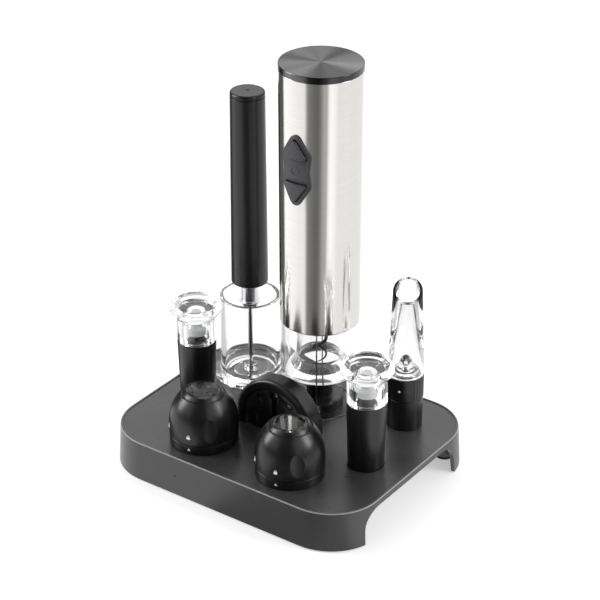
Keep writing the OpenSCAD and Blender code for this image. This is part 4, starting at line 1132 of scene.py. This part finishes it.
def decal(name, outline, centre, turn, z, radius_at, body, white=True):
    """A thin printed mark, given in millimetres across and up, laid on a turned surface."""
    rings = []
    for lift in (-0.05 * MM, SKIN):
        ring = []
        for u, v in outline:
            height = z + v * MM
            r = radius_at(height)
            a = math.radians(turn) + u * MM / r
            ring.append((centre.x + (r + lift) * math.sin(a), centre.y - (r + lift) * math.cos(a), height))
        rings.append(ring)
    return piece(name, loft(rings), "white_print" if white else "panel_black", body, slot="satin_black")


# ---- Sparkling-wine stoppers ------------------------------------------------------

DOME_R = 20.8
DOME_POWER = 2.0


def dome_radius(z):
    """Radius in metres of the dome's outside at a height in metres."""
    mid, top = DOME_MID, DOME_TOP
    share = max(0.0, min(1.0, (z - mid) / (top - mid)))
    if z <= mid:
        return (DOME_R - 0.03 * (mid - z) / MM) * MM
    return DOME_R * MM * (1 - share ** DOME_POWER) ** (1 / DOME_POWER)


DOME_MID = REST + 11 * MM
DOME_TOP = REST + 37 * MM
GRIPS = (48, 228)


def dimple(r, a, z):
    """Moves the dome's skin in at the two oval finger grips."""
    for turn in GRIPS:
        away = (a - math.radians(turn) + math.pi) % (2 * math.pi) - math.pi
        u = away * DOME_R / 4.4
        v = (z - DOME_MID - 5 * MM) / (7.0 * MM)
        d = u * u + v * v
        if r > 17.5 * MM and d < 1.5:
            depth = 1.15 * (1 - d) if d < 1 else 0.0
            lip = 0.22 * math.exp(-((d - 1.08) / 0.12) ** 2)
            r = r - (depth - lip) * MM if d < 1 else r + lip * MM * 0.6
    return min(r, DOME_R * MM), z


class WINESET_OT_sparkling_stoppers(bpy.types.Operator):
    """Builds the two sparkling-wine stoppers"""
    bl_idname = "wine_set.sparkling_stoppers"
    bl_label = "Sparkling-wine stoppers"

    def execute(self, context):
        for k in (1, 2):
            self.build(k, centre_of(f"sparkling_base_{k}"))
        return {"FINISHED"}

    @staticmethod
    def build(k, centre):
        z = REST / MM
        body, top_body = f"sparkling_{k}", f"dome_{k}"
        turned(f"lock_ring_{k}", [(15.5, z), (20.4, z), (20.4, z + 5.8), (17.1, z + 5.8), (17.1, z + 18.7),
                                  (15.5, z + 18.7)],
               [0.3, 0.9, 0.3, 0, 0.3, 0.3], centre, "satin_black", body, [f"sparkling_base_{k}"])
        refinish(f"sparkling_seal_{k}")
        outside = []
        steps = 60
        for i in range(steps + 1):
            height = z + 6.2 + (DOME_TOP / MM - z - 6.2) * (1 - (1 - i / steps) ** 1.6)
            r = dome_radius(height * MM) / MM
            if r > 13.4:
                outside.append((r, height))
        rim = outside[-1][1]
        inner = z + 33.7 - 4.6
        crown = [(13.3, rim + 0.25), (12.9, rim - 0.3), (12.4, rim - 0.3), (12.0, rim + 0.5),
                 (10.5, z + 33.0), (10.3, z + 32.6), (10.3, z + 30.2),
                 (6.5, z + 30.2), (6.5, inner), (14.5, inner), (18.4, z + 17), (18.4, z + 6.2)]
        points = outside + crown
        radii = [0.25] + [0] * (len(outside) - 1) + [0.2, 0.1, 0.1, 0.4, 0.3, 0.1, 0, 0, 0, 2.0, 1.0, 0.2]
        profile = rounded(mm(points), [r * MM for r in radii], steps=3, support=0.1 * MM)
        bm = lathe(profile, centre, 288, dimple)
        piece(f"dome_shell_{k}", bm, "satin_black", top_body, [f"sparkling_dome_{k}"], sharp=48)
        t = z + 33.7
        turned(f"lens_{k}", [(0, t - 3.3), (10.15, t - 3.3), (10.15, t - 1.0), (8.6, t - 0.35),
                             (5, t - 0.08), (0, t)],
               [0, 0.2, 0.5, 2, 4, 0], centre, "smoked_lens", top_body, [f"sparkling_lens_{k}"])
        lock_marks(k, centre, top_body, body)


def lock_marks(k, centre, top_body, body):
    """A closed and an open padlock on the dome, and a pointer on the base ring."""
    height = REST + 11.6 * MM
    case = [(-1.1, -1.0), (1.1, -1.0), (1.1, 0.55), (-1.1, 0.55)]
    for name, turn, lift in (("closed", 12, 0.0), ("open", -40, 0.45)):
        decal(f"{name}_lock_case_{k}", case, centre, turn, height, dome_radius, top_body)
        arc = [math.radians(180 * i / 12) for i in range(13)]
        outer = [(0.85 * math.cos(a), 0.75 + lift + 0.85 * math.sin(a)) for a in arc]
        inner = [(0.5 * math.cos(a), 0.75 + lift + 0.5 * math.sin(a)) for a in reversed(arc)]
        left_end = 0.5 if lift == 0 else 0.95
        shackle = outer + [(-0.85, left_end), (-0.5, left_end)] + inner + [(0.5, 0.5), (0.85, 0.5)]
        decal(f"{name}_lock_shackle_{k}", shackle, centre, turn, height, dome_radius, top_body)
    pointer = [(-1.0, -0.75), (1.0, -0.75), (0, 0.95)]
    decal(f"lock_pointer_{k}", pointer, centre, 12, REST + 3.4 * MM, lambda z: 20.4 * MM, body)


# ---- Foil cutter ------------------------------------------------------------------

class WINESET_OT_foil_cutter(bpy.types.Operator):
    """Builds the foil cutter's horseshoe, jaws and cutting wheels"""
    bl_idname = "wine_set.foil_cutter"
    bl_label = "Foil cutter"

    def execute(self, context):
        low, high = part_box("foil_frame")
        y = (low.y + high.y) / 2
        reach, thick = (high.x - low.x) / 2, high.y - low.y
        arm = 6.6 * MM
        mid_r = reach - arm / 2
        z_mid = high.z - reach
        path = [Vector((-mid_r, y, low.z)), Vector((-mid_r, y, (low.z + z_mid) / 2))]
        path += [Vector((-mid_r * math.cos(a), y, z_mid + mid_r * math.sin(a)))
                 for a in (math.pi * i / 72 for i in range(73))]
        path += [Vector((mid_r, y, (low.z + z_mid) / 2)), Vector((mid_r, y, low.z))]
        a, t = arm / 2 / MM, thick / 2 / MM
        section = rounded(mm([(-a, -t), (a, -t), (a, t), (-a, t)]),
                          [2.0 * MM, 2.0 * MM, 0.9 * MM, 0.9 * MM], steps=6, support=0.1 * MM)
        bm = sweep(path, section, Vector((0, 1, 0)))
        piece("horseshoe", bm, "satin_black", "foil_cutter", ["foil_frame"], sharp=32)
        piece("jaws", self.jaws(y, low.z, high.z, z_mid, reach - arm + 0.5 * MM, thick), "satin_black",
              "foil_cutter", ["foil_frame"], sharp=30, bevel=0.3 * MM, angle=60)
        self.build_wheels()
        return {"FINISHED"}

    @staticmethod
    def jaws(y, floor_at, top, z_mid, reach, thick):
        """Two jaws that fill the horseshoe, with a keyhole between them."""
        gap, key_r, key_z = 1.75 * MM, 3.3 * MM, top - 10.3 * MM
        outline = [(reach * math.cos(a), z_mid + reach * math.sin(a))
                   for a in (math.pi * i / 64 for i in range(65))]
        outline += [(-reach, floor_at + 0.2 * MM), (-gap, floor_at + 0.2 * MM)]
        span = math.acos(gap / key_r)
        turns = [math.pi + span - (math.pi + 2 * span) * i / 28 for i in range(29)]
        outline += [(key_r * math.cos(a), key_z + key_r * math.sin(a)) for a in turns]
        outline += [(gap, floor_at + 0.2 * MM), (reach, floor_at + 0.2 * MM)]
        depth = thick / 2 - 0.8 * MM
        bm = prism(outline, "Y", y - depth, y + depth)
        cuts = []
        for k in range(1, 5):
            low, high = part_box(f"foil_wheel_{k}")
            c = (low + high) / 2
            r = (high.x - low.x) / 2 + 0.5 * MM
            circle = [(c.x + r * math.cos(a), c.z + r * math.sin(a))
                      for a in (2 * math.pi * i / 40 for i in range(40))]
            cuts.append(prism(circle, "Y", c.y - 0.8 * MM, c.y + 0.8 * MM))
            side, face = math.copysign(1, c.x), math.copysign(1, c.y - y)
            x = c.x + side * 2.7 * MM
            window = [(x - 1.7 * MM, c.z + 1.6 * MM), (x - 1.7 * MM, c.z - 1.8 * MM),
                      (x + 1.7 * MM, c.z - 2.6 * MM), (x + 1.7 * MM, c.z + 0.8 * MM)]
            cuts.append(prism(window, "Y", *sorted((c.y, y + face * thick))))
            turns = [math.radians(15 * i) for i in range(-5, 6)]
            half = [(0, -8.6)] + [(4.6 * math.cos(a), 8.6 * math.sin(a)) for a in turns] + [(0, 8.6)]
            place = Vector((side * 14.4 * MM, y + face * (thick / 2 + 3.1 * MM), 0))
            cuts.append(lathe([(p * MM, floor_at + (6.2 + q) * MM) for p, q in half], place, 48))
        return combine(bm, cuts)

    @staticmethod
    def build_wheels():
        refinish("foil_pins")
        for k in range(1, 5):
            low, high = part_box(f"foil_wheel_{k}")
            c = (low + high) / 2
            r = (high.x - low.x) / 2
            half = (high.y - low.y) / 2
            rings = []
            for rr, t in ((0.85 * MM, -half), (r - 1.6 * MM, -half), (r, 0), (r - 1.6 * MM, half),
                          (0.85 * MM, half)):
                rings.append([(c.x + rr * math.cos(a), c.y + t, c.z + rr * math.sin(a))
                              for a in (2 * math.pi * i / 64 for i in range(64))])
            bm = bmesh.new()
            made = [[bm.verts.new(p) for p in ring] for ring in rings]
            for one, two in zip(made, made[1:] + made[:1]):
                bridge(bm, one, two)
            piece(f"cutting_wheel_{k}", bm, "bright_steel", f"wheel_{k}", [f"foil_wheel_{k}"], sharp=20)


# ---- Stage ------------------------------------------------------------------------

class WINESET_OT_stage(bpy.types.Operator):
    """Sets up the floor, the soft light and the camera"""
    bl_idname = "wine_set.stage"
    bl_label = "Stage"

    def execute(self, context):
        scene = context.scene
        scene.view_settings.view_transform = "Standard"
        self.build_floor()
        # Light crosses many thin clear walls before it comes out
        scene.cycles.max_bounces = 48
        scene.cycles.glossy_bounces = 48
        scene.cycles.transmission_bounces = 48
        self.build_world(scene)
        self.build_lights()
        self.build_camera(scene)
        return {"FINISHED"}

    @staticmethod
    def build_floor():
        """White to the eye and to matt surfaces. Glossy surfaces find darker gaps on it, as between
        reflectors laid round the set."""
        bm = bmesh.new()
        bmesh.ops.create_grid(bm, x_segments=8, y_segments=8, size=6.0)
        floor = bpy.data.objects.new("floor", new_mesh(bm, "floor"))
        bpy.context.scene.collection.objects.link(floor)
        material, tree, shader = new_material("floor_white", Roughness=0.6, Specular_IOR_Level=0.1)
        shader.inputs["Base Color"].default_value = (0.8, 0.8, 0.8, 1)
        shader.inputs["Emission Color"].default_value = (1, 1, 1, 1)
        shader.inputs["Emission Strength"].default_value = 0.45
        place = add(tree, "ShaderNodeTexCoord").outputs["Object"]
        length = add(tree, "ShaderNodeVectorMath", operation="LENGTH")
        tree.links.new(place, length.inputs[0])
        reach = tree.nodes.new("ShaderNodeMapRange")
        for label, value in (("From Min", 0.8), ("From Max", 1.1), ("To Min", 1.0), ("To Max", 0.3)):
            reach.inputs[label].default_value = value
        tree.links.new(length.outputs["Value"], reach.inputs["Value"])
        card = tree.nodes.new("ShaderNodeEmission")
        tree.links.new(maths(tree, "MULTIPLY", around(tree, place, CARDS), reach.outputs[0]),
                       card.inputs["Strength"])
        mixed = tree.nodes.new("ShaderNodeMixShader")
        ray = add(tree, "ShaderNodeLightPath")
        straight = maths(tree, "SUBTRACT", 1.0,
                         maths(tree, "MULTIPLY", ray.outputs["Is Transmission Ray"], 0.5))
        tree.links.new(maths(tree, "MULTIPLY", ray.outputs["Is Glossy Ray"], straight), mixed.inputs[0])
        tree.links.new(shader.outputs[0], mixed.inputs[1])
        tree.links.new(card.outputs[0], mixed.inputs[2])
        tree.links.new(mixed.outputs[0], tree.nodes["Material Output"].inputs["Surface"])
        floor.data.materials.append(material)

    @staticmethod
    def build_world(scene):
        """White to the camera; to everything else a studio of pale walls with darker gaps."""
        world = bpy.data.worlds.new("studio")
        scene.world = world
        world.use_nodes = True
        tree = world.node_tree
        back = tree.nodes["Background"]
        place = add(tree, "ShaderNodeTexCoord").outputs["Generated"]
        split = add(tree, "ShaderNodeSeparateXYZ")
        tree.links.new(place, split.inputs[0])
        rise = add(tree, "ShaderNodeValToRGB")
        marks = rise.color_ramp.elements
        while len(marks) < len(HEIGHTS):
            marks.new(0.5)
        for mark, (height, level) in zip(marks, HEIGHTS):
            mark.position = height
            mark.color = (level, level, level, 1)
        tree.links.new(split.outputs[2], rise.inputs[0])
        sky = maths(tree, "MULTIPLY", around(tree, place, WALLS), rise.outputs[0])
        ray = add(tree, "ShaderNodeLightPath")
        through = maths(tree, "MULTIPLY", ray.outputs["Is Transmission Ray"], 0.5)
        seen = maths(tree, "MAXIMUM", ray.outputs["Is Camera Ray"], through)
        level = tree.nodes.new("ShaderNodeMix")
        level.data_type = "FLOAT"
        tree.links.new(seen, level.inputs[0])
        tree.links.new(sky, level.inputs[2])
        level.inputs[3].default_value = 1.0
        tree.links.new(level.outputs[0], back.inputs["Strength"])
        back.inputs["Color"].default_value = (1, 1, 1, 1)

    @staticmethod
    def build_lights():
        lights = (
            ("left_box", (-0.8, -0.42, 0.55), (0.35, 0.8), 6.5),
            ("right_box", (0.8, 0.25, 0.5), (0.3, 0.5), 3.0),
            ("top_box", (0.0, 0.3, 1.3), (0.9, 0.9), 1.0),
        )
        for name, place, (wide, tall), power in lights:
            data = bpy.data.lights.new(name, "AREA")
            data.shape = "RECTANGLE"
            data.size, data.size_y = wide, tall
            data.energy = power
            lamp = bpy.data.objects.new(name, data)
            lamp.location = place
            aim = Vector((0, 0.01, 0.09)) - Vector(place)
            lamp.rotation_euler = aim.to_track_quat("-Z", "Y").to_euler()
            bpy.context.scene.collection.objects.link(lamp)

    @staticmethod
    def build_camera(scene):
        data = bpy.data.cameras.new("camera")
        data.lens = scene.wine_set_sizes.camera_length
        data.sensor_width = 36.0
        data.clip_start = 0.05
        data.clip_end = 50.0
        camera = bpy.data.objects.new("camera", data)
        camera.location = (0.6107, -0.8445, 0.6788)
        aim = Vector((-0.50972, 0.71399, -0.47999))
        camera.rotation_euler = aim.to_track_quat("-Z", "Y").to_euler()
        scene.collection.objects.link(camera)
        scene.camera = camera


# Turn from the front towards +X in degrees, and brightness: first of the studio's walls, then of the
# reflectors on the floor
WALLS = ((-180, 1.5), (-118, 1.5), (-112, 0.5), (-88, 0.2), (-80, 1.1), (-20, 1.1), (-8, 0.1), (48, 0.1),
         (58, 1.1), (84, 1.1), (96, 1.5), (180, 1.5))
HEIGHTS = ((0.0, 0.05), (0.2, 0.1), (0.32, 1.0), (0.7, 0.9), (0.85, 0.25), (1.0, 0.2))
CARDS = ((-180, 1.1), (-120, 1.1), (-116, 0.1), (-87, 0.1), (-83, 1.25), (-40, 1.12), (-9, 1.0), (-5, 0.6),
         (0, 0.27), (10, 0.2), (20, 0.16), (30, 0.15), (38, 0.26), (44, 0.45), (54, 0.5), (59, 1.1),
         (66, 1.25), (76, 1.15), (86, 0.97), (180, 0.95))


def around(tree, place, stops):
    """Brightness by the direction in which a place or a ray lies."""
    split = add(tree, "ShaderNodeSeparateXYZ")
    tree.links.new(place, split.inputs[0])
    angle = maths(tree, "ARCTAN2", split.outputs[0], maths(tree, "MULTIPLY", split.outputs[1], -1.0))
    share = maths(tree, "ADD", maths(tree, "DIVIDE", angle, 2 * math.pi), 0.5)
    ramp = add(tree, "ShaderNodeValToRGB")
    tree.links.new(share, ramp.inputs[0])
    marks = ramp.color_ramp.elements
    while len(marks) < len(stops):
        marks.new(0.5)
    for mark, (turn, level) in zip(marks, stops):
        mark.position = turn / 360 + 0.5
        mark.color = (level, level, level, 1)
    return ramp.outputs[0]


class WINESET_PT_panel(bpy.types.Panel):
    """Lists the pieces and the settings of the set"""
    bl_label = "Wine Opener Set"
    bl_idname = "WINESET_PT_panel"
    bl_space_type = "VIEW_3D"
    bl_region_type = "UI"
    bl_category = "Wine Opener"

    def draw(self, context):
        for settings in (context.scene.wine_set_sizes, context.scene.wine_set_colours):
            for name in settings.bl_rna.properties.keys():
                if name not in ("rna_type", "name"):
                    self.layout.prop(settings, name)
        for operator in OPERATORS:
            self.layout.operator(operator.bl_idname)


OPERATORS = (WINESET_OT_stage, WINESET_OT_stand, WINESET_OT_opener, WINESET_OT_clear_barrel,
             WINESET_OT_air_pump, WINESET_OT_bottle_stoppers, WINESET_OT_pourer,
             WINESET_OT_sparkling_stoppers, WINESET_OT_foil_cutter)
CLASSES = (WineSetSizes, WineSetColours, *OPERATORS, WINESET_PT_panel)


def register():
    for cls in CLASSES:
        bpy.utils.register_class(cls)
    bpy.types.Scene.wine_set_sizes = bpy.props.PointerProperty(type=WineSetSizes)
    bpy.types.Scene.wine_set_colours = bpy.props.PointerProperty(type=WineSetColours)


def unregister():
    del bpy.types.Scene.wine_set_colours
    del bpy.types.Scene.wine_set_sizes
    for cls in reversed(CLASSES):
        bpy.utils.unregister_class(cls)


def main():
    register()
    for operator in OPERATORS:
        group, name = operator.bl_idname.split(".")
        getattr(getattr(bpy.ops, group), name)()


if __name__ == "__main__":
    main()
